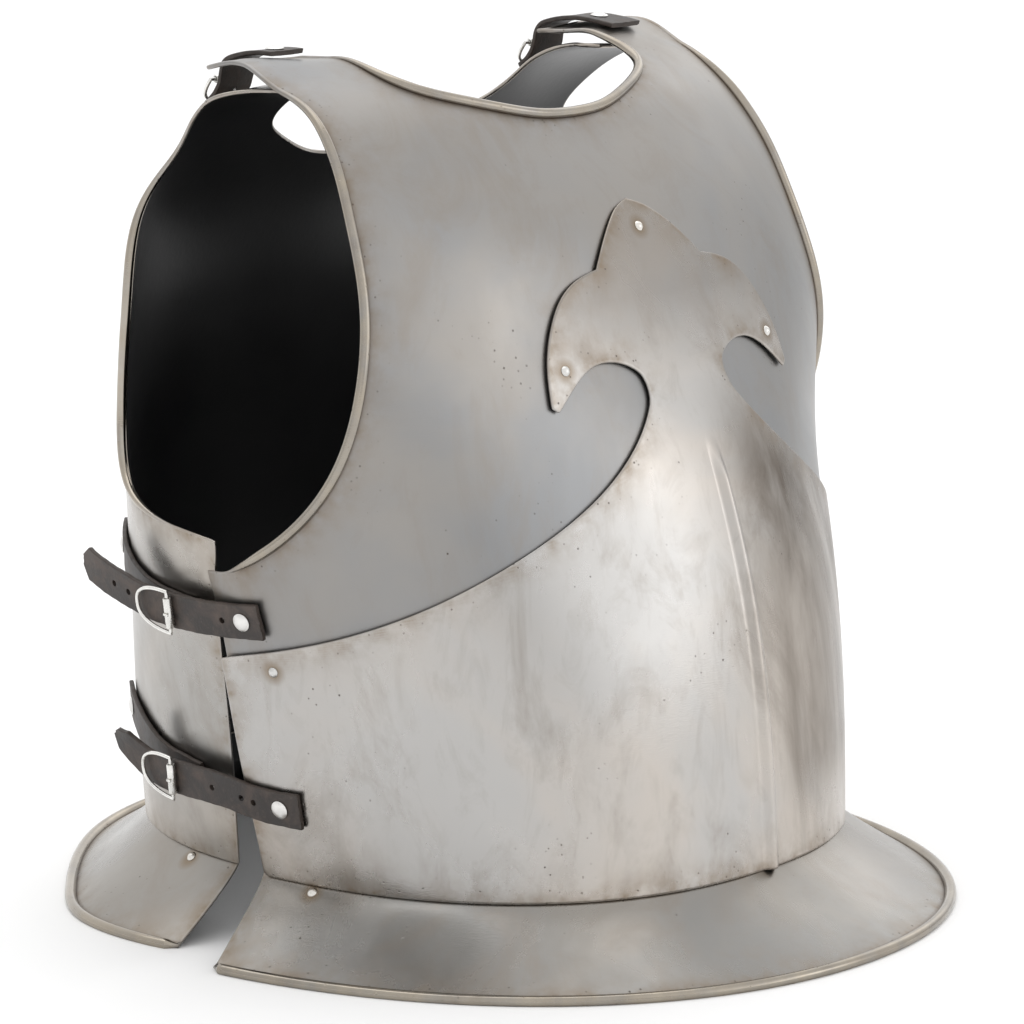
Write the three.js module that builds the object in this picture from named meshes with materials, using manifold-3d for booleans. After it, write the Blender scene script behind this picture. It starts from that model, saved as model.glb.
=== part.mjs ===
// A steel cuirass: breastplate, plackart with a fleur top and a keel, backplate, two flared
// skirts, and the leather straps with roller buckles that close it at the sides and shoulders.
// Millimetres, +Z up, the wearer faces -Y, and the skirts' rolled rims stand on Z = 0.
import * as THREE from 'three';
import Module from 'manifold-3d';

const wasm = await Module();
wasm.setup();

// ---- driving dimensions -------------------------------------------------------------------

// The wall, and the radius of the bead that finishes each kind of edge.
const sheet = { wall: 1.5, plainEdge: 0.76, tabEdge: 1.1, rolledEdge: 2.6, rimBead: 2.9 };
const leather = { sideWidth: 19, shoulderWidth: 25, thick: 2.4, tipLength: 6, tipWidth: 0.35 };
const buckle = {
  wire: 1.1, rollerRadius: 2.2, rollerBore: 1.5, rollerShort: 2.6, overhang: 2, lift: 0.35,
  prongWire: 0.8, prongClear: 0.4, prongShort: 3.2, hole: 4.8, holeRadius: 2.1,
};
const rivet = {
  plateRadius: 2.8, plateHeight: 1.6, strapRadius: 4.9, strapHeight: 1.5, gap: 0.35, skirtGap: 0.9,
};
const bodyTop = 448;     // where the front form would close over the shoulders
const backTop = 438;     // the same for the back form
const plackartStandoff = 1.8;
const breastInset = 1.2;
const keel = { height: 3.6, halfWidth: 6.5, bodyRadius: 175, fadeFrom: 232, fadeTo: 256 };

// Level sections of the body, as superellipses: half width, depth in front and behind, power.
const frontSections = [
  { z: 40, half: 173, front: 185.5, back: 184, power: 2.3 },
  { z: 110, half: 188.5, front: 180, back: 178, power: 2.15 },
  { z: 180, half: 202, front: 168.5, back: 168, power: 2.0 },
  { z: 250, half: 229, front: 147, back: 155, power: 1.85 },
  { z: 310, half: 240, front: 129, back: 134, power: 2.2 },
  { z: 360, half: 222, front: 118, back: 118, power: 2.5 },
  { z: 400, half: 209, front: 95, back: 97, power: 2.75 },
  { z: 425, half: 192, front: 69, back: 72, power: 2.75 },
  { z: 438, half: 162, front: 40, back: 44, power: 2.75 },
];
const backSections = [
  { z: 40, half: 169, front: 181, back: 181, power: 2.2 },
  { z: 110, half: 184, front: 175, back: 175, power: 2.2 },
  { z: 180, half: 197.5, front: 165, back: 165, power: 2.2 },
  { z: 250, half: 213, front: 152, back: 152, power: 2.2 },
  { z: 310, half: 219, front: 134, back: 134, power: 2.3 },
  { z: 360, half: 213, front: 108, back: 108, power: 2.8 },
  { z: 390, half: 212, front: 80, back: 80, power: 3.4 },
  { z: 410, half: 214, front: 58, back: 58, power: 4 },
  { z: 425, half: 208, front: 38, back: 38, power: 4 },
];
// The sections' centres move backwards over the shoulders.
const frontLean = { from: 230, to: 430, shift: 29 };
const backLean = { from: 310, to: 410, shift: 8 };

// Edges are rows of turn, in degrees from the front of the body, and height.
const edges = {
  breastSide: [{ turn: 91.6, z: 120 }, { turn: 92.2, z: 160 }, { turn: 92.6, z: 193 }],
  breastArm: [
    { turn: 92.6, z: 193 }, { turn: 84, z: 205 }, { turn: 75.5, z: 228 }, { turn: 69, z: 262 },
    { turn: 65.4, z: 296 }, { turn: 63.6, z: 335 }, { turn: 64.4, z: 372 }, { turn: 67, z: 402 },
    { turn: 73, z: 424.5 }, { turn: 79.9, z: 433.9 }, { turn: 86.8, z: 437.9 }, { turn: 96.8, z: 437.6 },
  ],
  breastNeck: [
    { turn: 0, z: 410 }, { turn: 15, z: 411 }, { turn: 33, z: 416.2 }, { turn: 46, z: 421.6 },
    { turn: 57.7, z: 428 }, { turn: 69.6, z: 436.9 }, { turn: 76, z: 441.2 }, { turn: 83, z: 444 },
    { turn: 90, z: 444.8 }, { turn: 97, z: 444.4 },
  ],
  plackartSide: [{ turn: 90.2, z: 37.5 }, { turn: 91, z: 87 }, { turn: 92.4, z: 151 }],
  plackartSweep: [
    { turn: 92.4, z: 151 }, { turn: 75, z: 165 }, { turn: 60.3, z: 182.8 }, { turn: 45.4, z: 206.5 },
    { turn: 30.5, z: 232.5 }, { turn: 21.5, z: 251.5 }, { turn: 14.6, z: 270 }, { turn: 12.9, z: 277.5 },
    { turn: 12.8, z: 284 },
  ],
  volute: [
    { turn: 12.8, z: 284 }, { turn: 13.5, z: 288.8 }, { turn: 15.6, z: 293.1 }, { turn: 20.5, z: 297.4 },
    { turn: 26.5, z: 297 }, { turn: 31.8, z: 289.5 }, { turn: 36.3, z: 278 },
  ],
  fleurTip: [
    { turn: 0, z: 370 }, { turn: 4.5, z: 367 }, { turn: 9.5, z: 360.5 }, { turn: 14.8, z: 350 },
    { turn: 18.8, z: 339.5 },
  ],
  fleurWing: [
    { turn: 18.8, z: 339.5 }, { turn: 24.8, z: 336.3 }, { turn: 29.8, z: 329.9 },
    { turn: 33.9, z: 317 }, { turn: 36.6, z: 298 }, { turn: 37.1, z: 279.5 },
  ],
  backSide: [
    { turn: 99.3, z: 38 }, { turn: 96.4, z: 88 }, { turn: 94.8, z: 138 }, { turn: 94, z: 172 },
    { turn: 91.9, z: 211.8 },
  ],
  backArm: [
    { turn: 91.9, z: 211.8 }, { turn: 97.8, z: 214.3 }, { turn: 104, z: 216.6 }, { turn: 109.5, z: 220.5 },
    { turn: 114.5, z: 228 }, { turn: 119.3, z: 254 }, { turn: 118.3, z: 290 }, { turn: 116.2, z: 330 },
    { turn: 115.2, z: 369 },
    { turn: 113.3, z: 394 }, { turn: 109, z: 408.5 }, { turn: 103, z: 422.3 }, { turn: 97, z: 430 },
    { turn: 91.1, z: 431.8 }, { turn: 88.1, z: 432 },
  ],
  backNeck: [
    { turn: 180, z: 380.5 }, { turn: 160, z: 383.5 }, { turn: 142.7, z: 391.8 }, { turn: 132, z: 399 },
    { turn: 125, z: 405.5 }, { turn: 118.4, z: 415 }, { turn: 111, z: 426 }, { turn: 101.7, z: 433.5 },
    { turn: 93.8, z: 435.6 }, { turn: 87, z: 435.6 },
  ],
};

// Each skirt hangs from a collar inside the waist and flares below the seam to its rim.
const seam = { collarTop: 51, height: 37, inset: 3.4, rivets: 31.5, creaseHeight: 2.3 };
const flare = 1.2;
const frontSkirt = {
  waistTurn: 91.2, rimTurn: 87.6,
  rim: [
    { turn: 0, radius: 249 }, { turn: 15, radius: 248.3 }, { turn: 30, radius: 244.4 },
    { turn: 45, radius: 237.6 }, { turn: 60, radius: 230 }, { turn: 75, radius: 224.5 },
    { turn: 90, radius: 222.5 },
  ],
};
const backSkirt = {
  waistTurn: 100.3, rimTurn: 99.2,
  rim: [
    { turn: 96, radius: 205.5 }, { turn: 108, radius: 216.3 }, { turn: 120, radius: 222.1 },
    { turn: 132, radius: 218.4 }, { turn: 148, radius: 219.4 }, { turn: 164, radius: 228.6 },
    { turn: 180, radius: 238.1 },
  ],
};
// The breastplate's shoulder tabs arch up along their outer edge and dip along the neck.
const tab = {
  inside: 95, outside: 160, arch: 6.6, archFrom: -6, archTo: 24,
  tail: 3, tailFrom: 28, tailTo: 52, dip: 2.8, dipFrom: 5, dipTo: 30,
};
// Where the body's outline changes hands, in shares of a plate's height: the armpit corner, and
// the pit of the neck or the nape. The beads grow and shrink between two such shares.
const breastShares = {
  corner: 0.2, pit: 0.66, armBead: [0.2, 0.3], armTab: [0.78, 0.92], neckTab: [0.86, 0.97],
};
const backShares = { corner: 0.34, nape: 0.6, armBead: [0.33, 0.54], armTab: [0.72, 0.86] };
const rimTaper = [0.97, 1];      // the skirts' beads thin out towards their ends
// Rivets by turn and height.
const rivetSpots = {
  fleur: { turn: 0, z: 357.5 }, volute: { turn: 33.5, z: 295.5 }, side: { turn: 83, z: 149 },
  frontSkirt: 80.2, backSkirt: 111.5,
};

// Strap stations: turn from the front, height of the strap's middle, and how far its inner
// face stands off the body.
const sideStraps = [
  {
    name: 'upper',
    front: [
      { turn: 84, z: 175.2, off: 0.6 }, { turn: 88, z: 174.2, off: 0.6 }, { turn: 92.5, z: 173.6, off: 1.4 },
      { turn: 97, z: 173.5, off: 3 }, { turn: 101.5, z: 173.9, off: 5 }, { turn: 105.5, z: 175.3, off: 8 },
      { turn: 109.5, z: 178.6, off: 12 }, { turn: 113.5, z: 181.8, off: 16.4 },
      { turn: 117.5, z: 186, off: 21.8 }, { turn: 120, z: 188.7, off: 25 },
    ],
    base: [
      { turn: 98, z: 171.5, off: 0.5 }, { turn: 104, z: 173, off: 0.5 }, { turn: 110, z: 175.5, off: 0.6 },
      { turn: 116, z: 180, off: 0.6 }, { turn: 123, z: 187, off: 0.6 }, { turn: 131, z: 192, off: 0.6 },
    ],
    rivetAt: 11, baseRivetAt: 101, rollerAt: 57.5, frameLength: 23.5,
  },
  {
    name: 'lower',
    front: [
      { turn: 80.3, z: 77, off: 2.5 }, { turn: 84.5, z: 77.1, off: 2.5 }, { turn: 89.1, z: 78, off: 2.5 },
      { turn: 94.1, z: 80.4, off: 2.6 }, { turn: 99.5, z: 81.6, off: 3 }, { turn: 105.3, z: 81.9, off: 4 },
      { turn: 109.5, z: 82.5, off: 5.2 }, { turn: 112.8, z: 84.5, off: 6.8 },
      { turn: 115.2, z: 89, off: 9.4 }, { turn: 117, z: 94.4, off: 12.5 }, { turn: 118, z: 99.5, off: 15 },
    ],
    base: [
      { turn: 103, z: 81, off: 0.5 }, { turn: 108, z: 83, off: 0.5 }, { turn: 113, z: 85, off: 0.6 },
      { turn: 118, z: 89.5, off: 0.6 }, { turn: 125, z: 98, off: 0.6 }, { turn: 133, z: 104, off: 0.6 },
    ],
    rivetAt: 12, baseRivetAt: 88, rollerAt: 84.5, frameLength: 23.5,
  },
];
// Shoulder strap stations, as places of the strap's inner face. The left strap starts further
// forward than the right one.
const shoulderStrap = {
  across: 126, bendY: 20, bendZ: 400,      // the straps bend round an axis at bendY, bendZ
  starts: { right: { y: 25, z: 445.9 }, left: { y: 6, z: 443.4 } },
  front: [
    { y: 34, z: 446 }, { y: 44, z: 444.8 }, { y: 50.5, z: 443.2 }, { y: 54.8, z: 441.2 }, { y: 57, z: 437.5 },
    { y: 58, z: 433 }, { y: 59.5, z: 428.5 }, { y: 62.5, z: 424 }, { y: 67.5, z: 419.5 }, { y: 74, z: 415.5 },
  ],
  base: [
    { y: 64, z: 415.5 }, { y: 70, z: 410 }, { y: 76, z: 402.5 }, { y: 84, z: 391.5 }, { y: 93, z: 380 },
  ],
  rivetAt: { right: 8, left: 18 }, baseRivetAt: 38, rollerFromEnd: 22.5, frameLength: 15,
};

const finish = {
  steel: new THREE.MeshStandardMaterial({ color: 0xb4aea6, roughness: 0.34, metalness: 1 }),
  leather: new THREE.MeshStandardMaterial({ color: 0x3a3330, roughness: 0.7, metalness: 0 }),
  nickel: new THREE.MeshStandardMaterial({ color: 0xcfcac2, roughness: 0.22, metalness: 1 }),
};

// ---- curves and forms ---------------------------------------------------------------------

const degrees = Math.PI / 180;
const mix = (a, b, t) => a + (b - a) * t;
const ease = (from, to, x) => THREE.MathUtils.smoothstep(x, from, to);

// Natural cubic spline through (at[i], value[i]).
function spline(at, value) {
  const n = at.length;
  const curve = new Array(n).fill(0);
  const upper = new Array(n).fill(0);
  for (let i = 1; i < n - 1; i++) {
    const left = at[i] - at[i - 1];
    const right = at[i + 1] - at[i];
    const pivot = 2 * (left + right) - left * upper[i - 1];
    upper[i] = right / pivot;
    const bend = 6 * ((value[i + 1] - value[i]) / right - (value[i] - value[i - 1]) / left);
    curve[i] = (bend - left * curve[i - 1]) / pivot;
  }
  for (let i = n - 2; i > 0; i--) curve[i] -= upper[i] * curve[i + 1];
  return (x) => {
    let i = 1;
    while (i < n - 1 && x > at[i]) i++;
    const step = at[i] - at[i - 1];
    const a = (at[i] - x) / step;
    const b = (x - at[i - 1]) / step;
    const cubic = (a ** 3 - a) * curve[i - 1] + (b ** 3 - b) * curve[i];
    return a * value[i - 1] + b * value[i] + (cubic * step * step) / 6;
  };
}

// A body form: point(turn, z, off) lies on the section at height z, off outside it.
function makeForm(sections, top, lean) {
  const heights = [...sections.map((row) => row.z), top];
  const squared = (name) => spline(heights, [...sections.map((row) => row[name] ** 2), 0]);
  const root = (curve) => (z) => Math.sqrt(Math.max(curve(z), 4));
  const half = root(squared('half'));
  const front = root(squared('front'));
  const back = root(squared('back'));
  const power = spline(sections.map((row) => row.z), sections.map((row) => row.power));
  const lastSection = sections[sections.length - 1].z;
  const centre = (z) => lean.shift * ease(lean.from, lean.to, z);
  const radius = (turn, z, off = 0) => {
    const s = Math.sin(turn * degrees);
    const c = Math.cos(turn * degrees);
    const depth = (c > 0 ? front(z) : back(z)) + off;
    const p = power(Math.min(z, lastSection));
    return (Math.abs(s / (half(z) + off)) ** p + Math.abs(c / depth) ** p) ** (-1 / p);
  };
  const point = (turn, z, off = 0) => {
    const r = radius(turn, z, off);
    return new THREE.Vector3(r * Math.sin(turn * degrees), centre(z) - r * Math.cos(turn * degrees), z);
  };
  return { point, frame: (turn, z, off) => frameOn((t, h) => point(t, h, off), turn, z) };
}

// The frame on a surface: outward normal, up along it, and across towards larger turns.
function frameOn(point, turn, z) {
  const across = point(turn + 0.5, z).sub(point(turn - 0.5, z)).normalize();
  const rise = point(turn, z + 1).sub(point(turn, z - 1));
  const normal = across.clone().cross(rise).normalize();
  const up = normal.clone().cross(across).normalize();
  return { at: point(turn, z), normal, across, up };
}

const frontForm = makeForm(frontSections, bodyTop, frontLean);
const backForm = makeForm(backSections, backTop, backLean);

// A smooth curve through the rows' named columns, by distance along the form; at(0) to at(1).
function curveThrough(rows, columns, place) {
  const along = [0];
  for (let i = 1; i < rows.length; i++) {
    along.push(along[i - 1] + place(rows[i]).distanceTo(place(rows[i - 1])));
  }
  const total = along[along.length - 1];
  const parts = columns.map((name) => spline(along, rows.map((row) => row[name])));
  return (t) => Object.fromEntries(columns.map((name, i) => [name, parts[i](t * total)]));
}
const edgeOn = (form, rows) => curveThrough(rows, ['turn', 'z'], (row) => form.point(row.turn, row.z));

// ---- sheets ---------------------------------------------------------------------------------

// A sheet mirrored in x = 0. grid[i][j] holds the right half's points, column 0 nearest the
// mid-plane; border walks its edge from mid-plane to mid-plane as [i, j, bead radius]. The sheet
// gets its wall inwards, and a bead along its whole border that curls outwards.
function mirroredSheet({ grid, border, outwards, beadSteps, floor = -Infinity }) {
  const points = [];
  const right = grid.map((row) => row.map((p) => points.push(p) - 1));
  const left = grid.map((row, i) => row.map((p, j) => (
    Math.abs(p.x) < 1e-6 ? right[i][j] : points.push(new THREE.Vector3(-p.x, p.y, p.z)) - 1
  )));
  const skin = [];
  const face = (a, b, c, flip) => skin.push(flip ? [a, c, b] : [a, b, c]);
  for (let i = 0; i + 1 < grid.length; i++) {
    const cells = Math.min(grid[i].length, grid[i + 1].length) - 1;
    for (let j = 0; j < cells; j++) {
      for (const [side, flip] of [[right, !outwards], [left, outwards]]) {
        face(side[i][j], side[i][j + 1], side[i + 1][j + 1], flip);
        face(side[i][j], side[i + 1][j + 1], side[i + 1][j], flip);
      }
    }
  }
  const normals = points.map(() => new THREE.Vector3());
  for (const [a, b, c] of skin) {
    const area = points[b].clone().sub(points[a]).cross(points[c].clone().sub(points[a]));
    for (const k of [a, b, c]) normals[k].add(area);
  }
  normals.forEach((n) => n.normalize());

  const vertices = points.map((p) => p.clone());
  const inner = points.map((p, k) => vertices.push(p.clone().addScaledVector(normals[k], -sheet.wall)) - 1);
  const triangles = skin.map((t) => [...t]);
  for (const [a, b, c] of skin) triangles.push([inner[a], inner[c], inner[b]]);

  const loop = border.map(([i, j, bead]) => ({ k: right[i][j], bead }));
  for (let s = border.length - 2; s > 0; s--) {
    const [i, j, bead] = border[s];
    loop.push({ k: left[i][j], bead });
  }
  const rings = loop.map(({ k, bead }, s) => {
    const before = points[loop[(s + loop.length - 1) % loop.length].k];
    const after = points[loop[(s + 1) % loop.length].k];
    const tangent = after.clone().sub(points[k]).normalize().add(points[k].clone().sub(before).normalize());
    const beyond = tangent.cross(normals[k]).normalize().multiplyScalar(outwards ? 1 : -1);
    const start = Math.PI + Math.asin(THREE.MathUtils.clamp((bead - sheet.wall) / bead, -1, 1));
    const ring = [k];
    for (let m = 1; m <= beadSteps; m++) {
      const angle = start - (start + Math.PI / 2) * (m / beadSteps);
      const p = points[k].clone();
      p.addScaledVector(beyond, bead * (1 + Math.cos(angle)));
      p.addScaledVector(normals[k], bead * (1 + Math.sin(angle)) - sheet.wall);
      ring.push(vertices.push(p) - 1);
    }
    ring.push(inner[k]);
    return ring;
  });
  rings.forEach((ring, s) => {
    const next = rings[(s + 1) % rings.length];
    for (let m = 0; m + 1 < ring.length; m++) {
      const quad = [next[m], ring[m], ring[m + 1], next[m + 1]];
      if (!outwards) quad.reverse();
      triangles.push([quad[0], quad[1], quad[2]], [quad[0], quad[2], quad[3]]);
    }
  });
  vertices.forEach((p) => { p.z = Math.max(p.z, floor); });
  return solid(vertices, triangles);
}

// A closed body from its corners and triangles.
function solid(vertices, triangles) {
  const geometry = new THREE.BufferGeometry();
  const flat = vertices.flatMap((p) => [p.x, p.y, p.z]);
  geometry.setAttribute('position', new THREE.Float32BufferAttribute(flat, 3));
  geometry.setIndex(triangles.flat());
  geometry.computeVertexNormals();
  return geometry;
}

// Steps from 0 to 1 in stretches that end at the given marks.
function stretches(marks, counts) {
  const steps = [marks[0]];
  counts.forEach((count, i) => {
    for (let k = 1; k <= count; k++) steps.push(mix(marks[i], marks[i + 1], k / count));
  });
  return steps;
}

const blend = (a, b, t) => ({ turn: mix(a.turn, b.turn, t), z: mix(a.z, b.z, t) });

// How far the shoulder tab lies above the front form.
function tabLift({ x, y }) {
  const outer = tab.arch * ease(tab.archFrom, tab.archTo, y) - tab.tail * ease(tab.tailFrom, tab.tailTo, y);
  const inner = -tab.dip * ease(tab.dipFrom, tab.dipTo, y);
  return mix(inner, outer, ease(tab.inside, tab.outside, Math.abs(x)));
}

function breastplate() {
  const side = edgeOn(frontForm, edges.breastSide);
  const arm = edgeOn(frontForm, edges.breastArm);
  const neck = edgeOn(frontForm, edges.breastNeck);
  const { corner, pit } = breastShares;
  const heights = stretches([0, corner, pit, 1], [2, 8, 8]);
  const pitRow = heights.indexOf(pit);
  const foot = { turn: 0, z: edges.breastSide[0].z };
  const inner = (v) => (v <= pit ? blend(foot, edges.breastNeck[0], v / pit) : neck((v - pit) / (1 - pit)));
  const outer = (v) => (v <= corner ? side(v / corner) : arm((v - corner) / (1 - corner)));
  const columns = stretches([0, 1], [10]);
  const grid = heights.map((v) => columns.map((u) => {
    const at = blend(inner(v), outer(v), u);
    const p = frontForm.point(at.turn, at.z, -breastInset);
    p.z += tabLift(p);
    return p;
  }));
  const last = columns.length - 1;
  const top = heights.length - 1;
  const { armBead, armTab, neckTab } = breastShares;
  const armRadius = (v) => mix(sheet.rolledEdge, sheet.tabEdge, ease(...armTab, v)) * ease(...armBead, v);
  const neckRadius = (v) => mix(sheet.rolledEdge, sheet.tabEdge, ease(...neckTab, v));
  const border = [];
  columns.forEach((u, j) => border.push([0, j, sheet.plainEdge]));
  heights.forEach((v, i) => i > 0 && border.push([i, last, Math.max(sheet.plainEdge, armRadius(v))]));
  for (let j = last - 1; j > 0; j--) border.push([top, j, sheet.tabEdge]);
  for (let i = top; i >= pitRow; i--) border.push([i, 0, neckRadius(heights[i])]);
  return mirroredSheet({ grid, border, outwards: true, beadSteps: 4 });
}

function plackart() {
  const side = edgeOn(frontForm, edges.plackartSide);
  const sweep = edgeOn(frontForm, edges.plackartSweep);
  const volute = edgeOn(frontForm, edges.volute);
  const tip = edgeOn(frontForm, edges.fleurTip);
  const wing = edgeOn(frontForm, edges.fleurWing);
  const keelAt = (turn, z) => {
    const across = (Math.abs(turn) * degrees * keel.bodyRadius) / keel.halfWidth;
    const rise = across < 1 ? (1 + Math.cos(Math.PI * across)) / 2 : 0;
    return keel.height * rise * (1 - ease(keel.fadeFrom, keel.fadeTo, z));
  };
  const place = ({ turn, z }) => frontForm.point(turn, z, plackartStandoff + keelAt(turn, z));

  // The body of the plate, from its waist edge up to the narrow stem of the fleur.
  const corner = 0.4;
  const heights = stretches([0, corner, 1], [5, 9]);
  const columns = [0, 0.012, 0.026, 0.09, 0.19, 0.3, 0.42, 0.54, 0.66, 0.78, 0.9, 1];
  const stem = edges.plackartSweep[edges.plackartSweep.length - 1];
  const foot = { turn: 0, z: edges.plackartSide[0].z };
  const outer = (v) => (v <= corner ? side(v / corner) : sweep((v - corner) / (1 - corner)));
  const body = heights.map((v) => columns.map((u) => (
    place(blend(blend(foot, { turn: 0, z: stem.z }, v), outer(v), u))
  )));

  // The fleur: lines from its lower edge, out along the volute, to its upper edge.
  const reach = stretches([0, 1], [9]);
  const stemColumn = columns.length - 1;
  const share = 0.36;      // how far along the upper edge the stem's last line ends
  const notch = 0.52;      // where the tip gives way to the wing, along the upper edge
  const upper = (t) => (t <= notch ? tip(t / notch) : wing((t - notch) / (1 - notch)));
  const onStem = columns.map((u) => blend({ turn: 0, z: stem.z }, stem, u));
  const under = [...onStem, ...reach.slice(1).map(volute)];
  const overStem = columns.map((u) => upper(u * share));
  const over = [...overStem, ...reach.slice(1).map((t) => upper(mix(share, 1, t)))];
  const rises = stretches([0, 1], [4]).slice(1);
  const fleur = rises.map((t) => under.map((low, j) => place(blend(low, over[j], t))));
  body[body.length - 1] = under.map(place);

  const grid = [...body, ...fleur];
  const stemRow = body.length - 1;
  const top = grid.length - 1;
  const end = under.length - 1;
  const border = [];
  columns.forEach((u, j) => border.push([0, j]));
  for (let i = 1; i <= stemRow; i++) border.push([i, stemColumn]);
  for (let j = stemColumn + 1; j <= end; j++) border.push([stemRow, j]);
  for (let i = stemRow + 1; i <= top; i++) border.push([i, end]);
  for (let j = end - 1; j >= 0; j--) border.push([top, j]);
  const plain = border.map(([i, j]) => [i, j, sheet.plainEdge]);
  return mirroredSheet({ grid, border: plain, outwards: true, beadSteps: 2 });
}

function backplate() {
  const side = edgeOn(backForm, edges.backSide);
  const arm = edgeOn(backForm, edges.backArm);
  const neck = edgeOn(backForm, edges.backNeck);
  const { corner, nape } = backShares;
  const heights = stretches([0, corner, nape, 1], [5, 5, 9]);
  const napeRow = heights.indexOf(nape);
  const foot = { turn: 180, z: edges.backSide[0].z };
  const inner = (v) => (v <= nape ? blend(foot, edges.backNeck[0], v / nape) : neck((v - nape) / (1 - nape)));
  const outer = (v) => (v <= corner ? side(v / corner) : arm((v - corner) / (1 - corner)));
  const columns = stretches([0, 1], [9]);
  const grid = heights.map((v) => columns.map((u) => {
    const at = blend(inner(v), outer(v), u);
    const p = backForm.point(at.turn, at.z);
    if (u === 0 && v <= nape) p.x = 0;
    return p;
  }));
  const last = columns.length - 1;
  const top = heights.length - 1;
  const { armBead, armTab } = backShares;
  const armRadius = (v) => mix(sheet.rolledEdge, sheet.tabEdge, ease(...armTab, v)) * ease(...armBead, v);
  const border = [];
  columns.forEach((u, j) => border.push([0, j, sheet.plainEdge]));
  heights.forEach((v, i) => i > 0 && border.push([i, last, Math.max(sheet.plainEdge, armRadius(v))]));
  for (let j = last - 1; j > 0; j--) border.push([top, j, sheet.tabEdge]);
  for (let i = top; i >= napeRow; i--) border.push([i, 0, sheet.tabEdge]);
  return mirroredSheet({ grid, border, outwards: false, beadSteps: 4 });
}

for (const size of [frontSkirt, backSkirt]) {
  size.rimRadius = spline(size.rim.map(({ turn }) => turn), size.rim.map(({ radius }) => radius));
}

// How far down the flare a height is: 0 at the seam and above it, 1 at the rim.
const flareAt = (z) => Math.max(0, (seam.height - z) / (seam.height - seam.creaseHeight));

// A skirt's radius grows from the waist's at the seam to its rim's.
function skirtPoint(form, size, turn, z) {
  const waist = form.point(turn, Math.max(z, seam.height), -seam.inset);
  const s = Math.sin(turn * degrees);
  const c = Math.cos(turn * degrees);
  const radius = mix(Math.hypot(waist.x, waist.y), size.rimRadius(turn), flareAt(z) ** flare);
  return new THREE.Vector3(radius * s, -radius * c, z);
}

// A flared skirt, from under the waist seam out to a rolled rim that lies on the ground.
function skirt(form, size, front) {
  const flared = stretches([0, 1], [4]).map((share) => mix(seam.creaseHeight, seam.height, share));
  const heights = [...flared, seam.collarTop];
  const columns = stretches([0, 1], [13]);
  const grid = heights.map((z) => columns.map((u) => {
    const limit = mix(size.waistTurn, size.rimTurn, flareAt(z));
    const p = skirtPoint(form, size, front ? limit * u : mix(180, limit, u), z);
    if (u === 0) p.x = 0;
    return p;
  }));
  const last = columns.length - 1;
  const top = heights.length - 1;
  const border = [];
  columns.forEach((u, j) => border.push([0, j, mix(sheet.rimBead, sheet.tabEdge, ease(...rimTaper, u))]));
  for (let i = 1; i <= top; i++) border.push([i, last, sheet.plainEdge]);
  for (let j = last - 1; j >= 0; j--) border.push([top, j, sheet.plainEdge]);
  return mirroredSheet({ grid, border, outwards: front, beadSteps: 6, floor: 0 });
}

// ---- straps, buckles and rivets -------------------------------------------------------------

// A strap's route: at(t) gives its middle on the inner face, the way along it, the way out from
// the body and the way across it.
function route(spots) {
  const along = [0];
  spots.forEach(({ at }, i) => i > 0 && along.push(along[i - 1] + at.distanceTo(spots[i - 1].at)));
  const total = along[along.length - 1];
  const smooth = (pick) => {
    const axes = ['x', 'y', 'z'].map((axis) => spline(along, spots.map((spot) => pick(spot)[axis])));
    return (t) => new THREE.Vector3(...axes.map((axis) => axis(t * total)));
  };
  const point = smooth((spot) => spot.at);
  const normal = smooth((spot) => spot.normal);
  const at = (t) => {
    const ahead = point(Math.min(t + 0.01, 1)).sub(point(Math.max(t - 0.01, 0))).normalize();
    const across = normal(t).cross(ahead).normalize();
    return { point: point(t), ahead, out: ahead.clone().cross(across).normalize(), across };
  };
  return { at, total };
}

// A strap with square front end; a tongue's far end is cut to a blunt point.
function strap(path, width, steps, tongue) {
  const vertices = [];
  const triangles = [];
  for (let k = 0; k <= steps; k++) {
    const t = k / steps;
    const { point, out, across } = path.at(t);
    const left = tongue ? THREE.MathUtils.clamp(((1 - t) * path.total) / leather.tipLength, 0, 1) : 1;
    const half = (width / 2) * mix(leather.tipWidth, 1, left);
    for (const [side, rise] of [[-1, 0], [1, 0], [1, 1], [-1, 1]]) {
      const corner = point.clone().addScaledVector(across, side * half);
      vertices.push(corner.addScaledVector(out, rise * leather.thick));
    }
  }
  for (let k = 0; k < steps; k++) {
    for (let m = 0; m < 4; m++) {
      const a = k * 4 + m;
      const b = k * 4 + ((m + 1) % 4);
      triangles.push([a, b, b + 4], [a, b + 4, a + 4]);
    }
  }
  const end = steps * 4;
  triangles.push([0, 2, 1], [0, 3, 2], [end, end + 1, end + 2], [end, end + 2, end + 3]);
  return solid(vertices, triangles);
}

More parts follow.
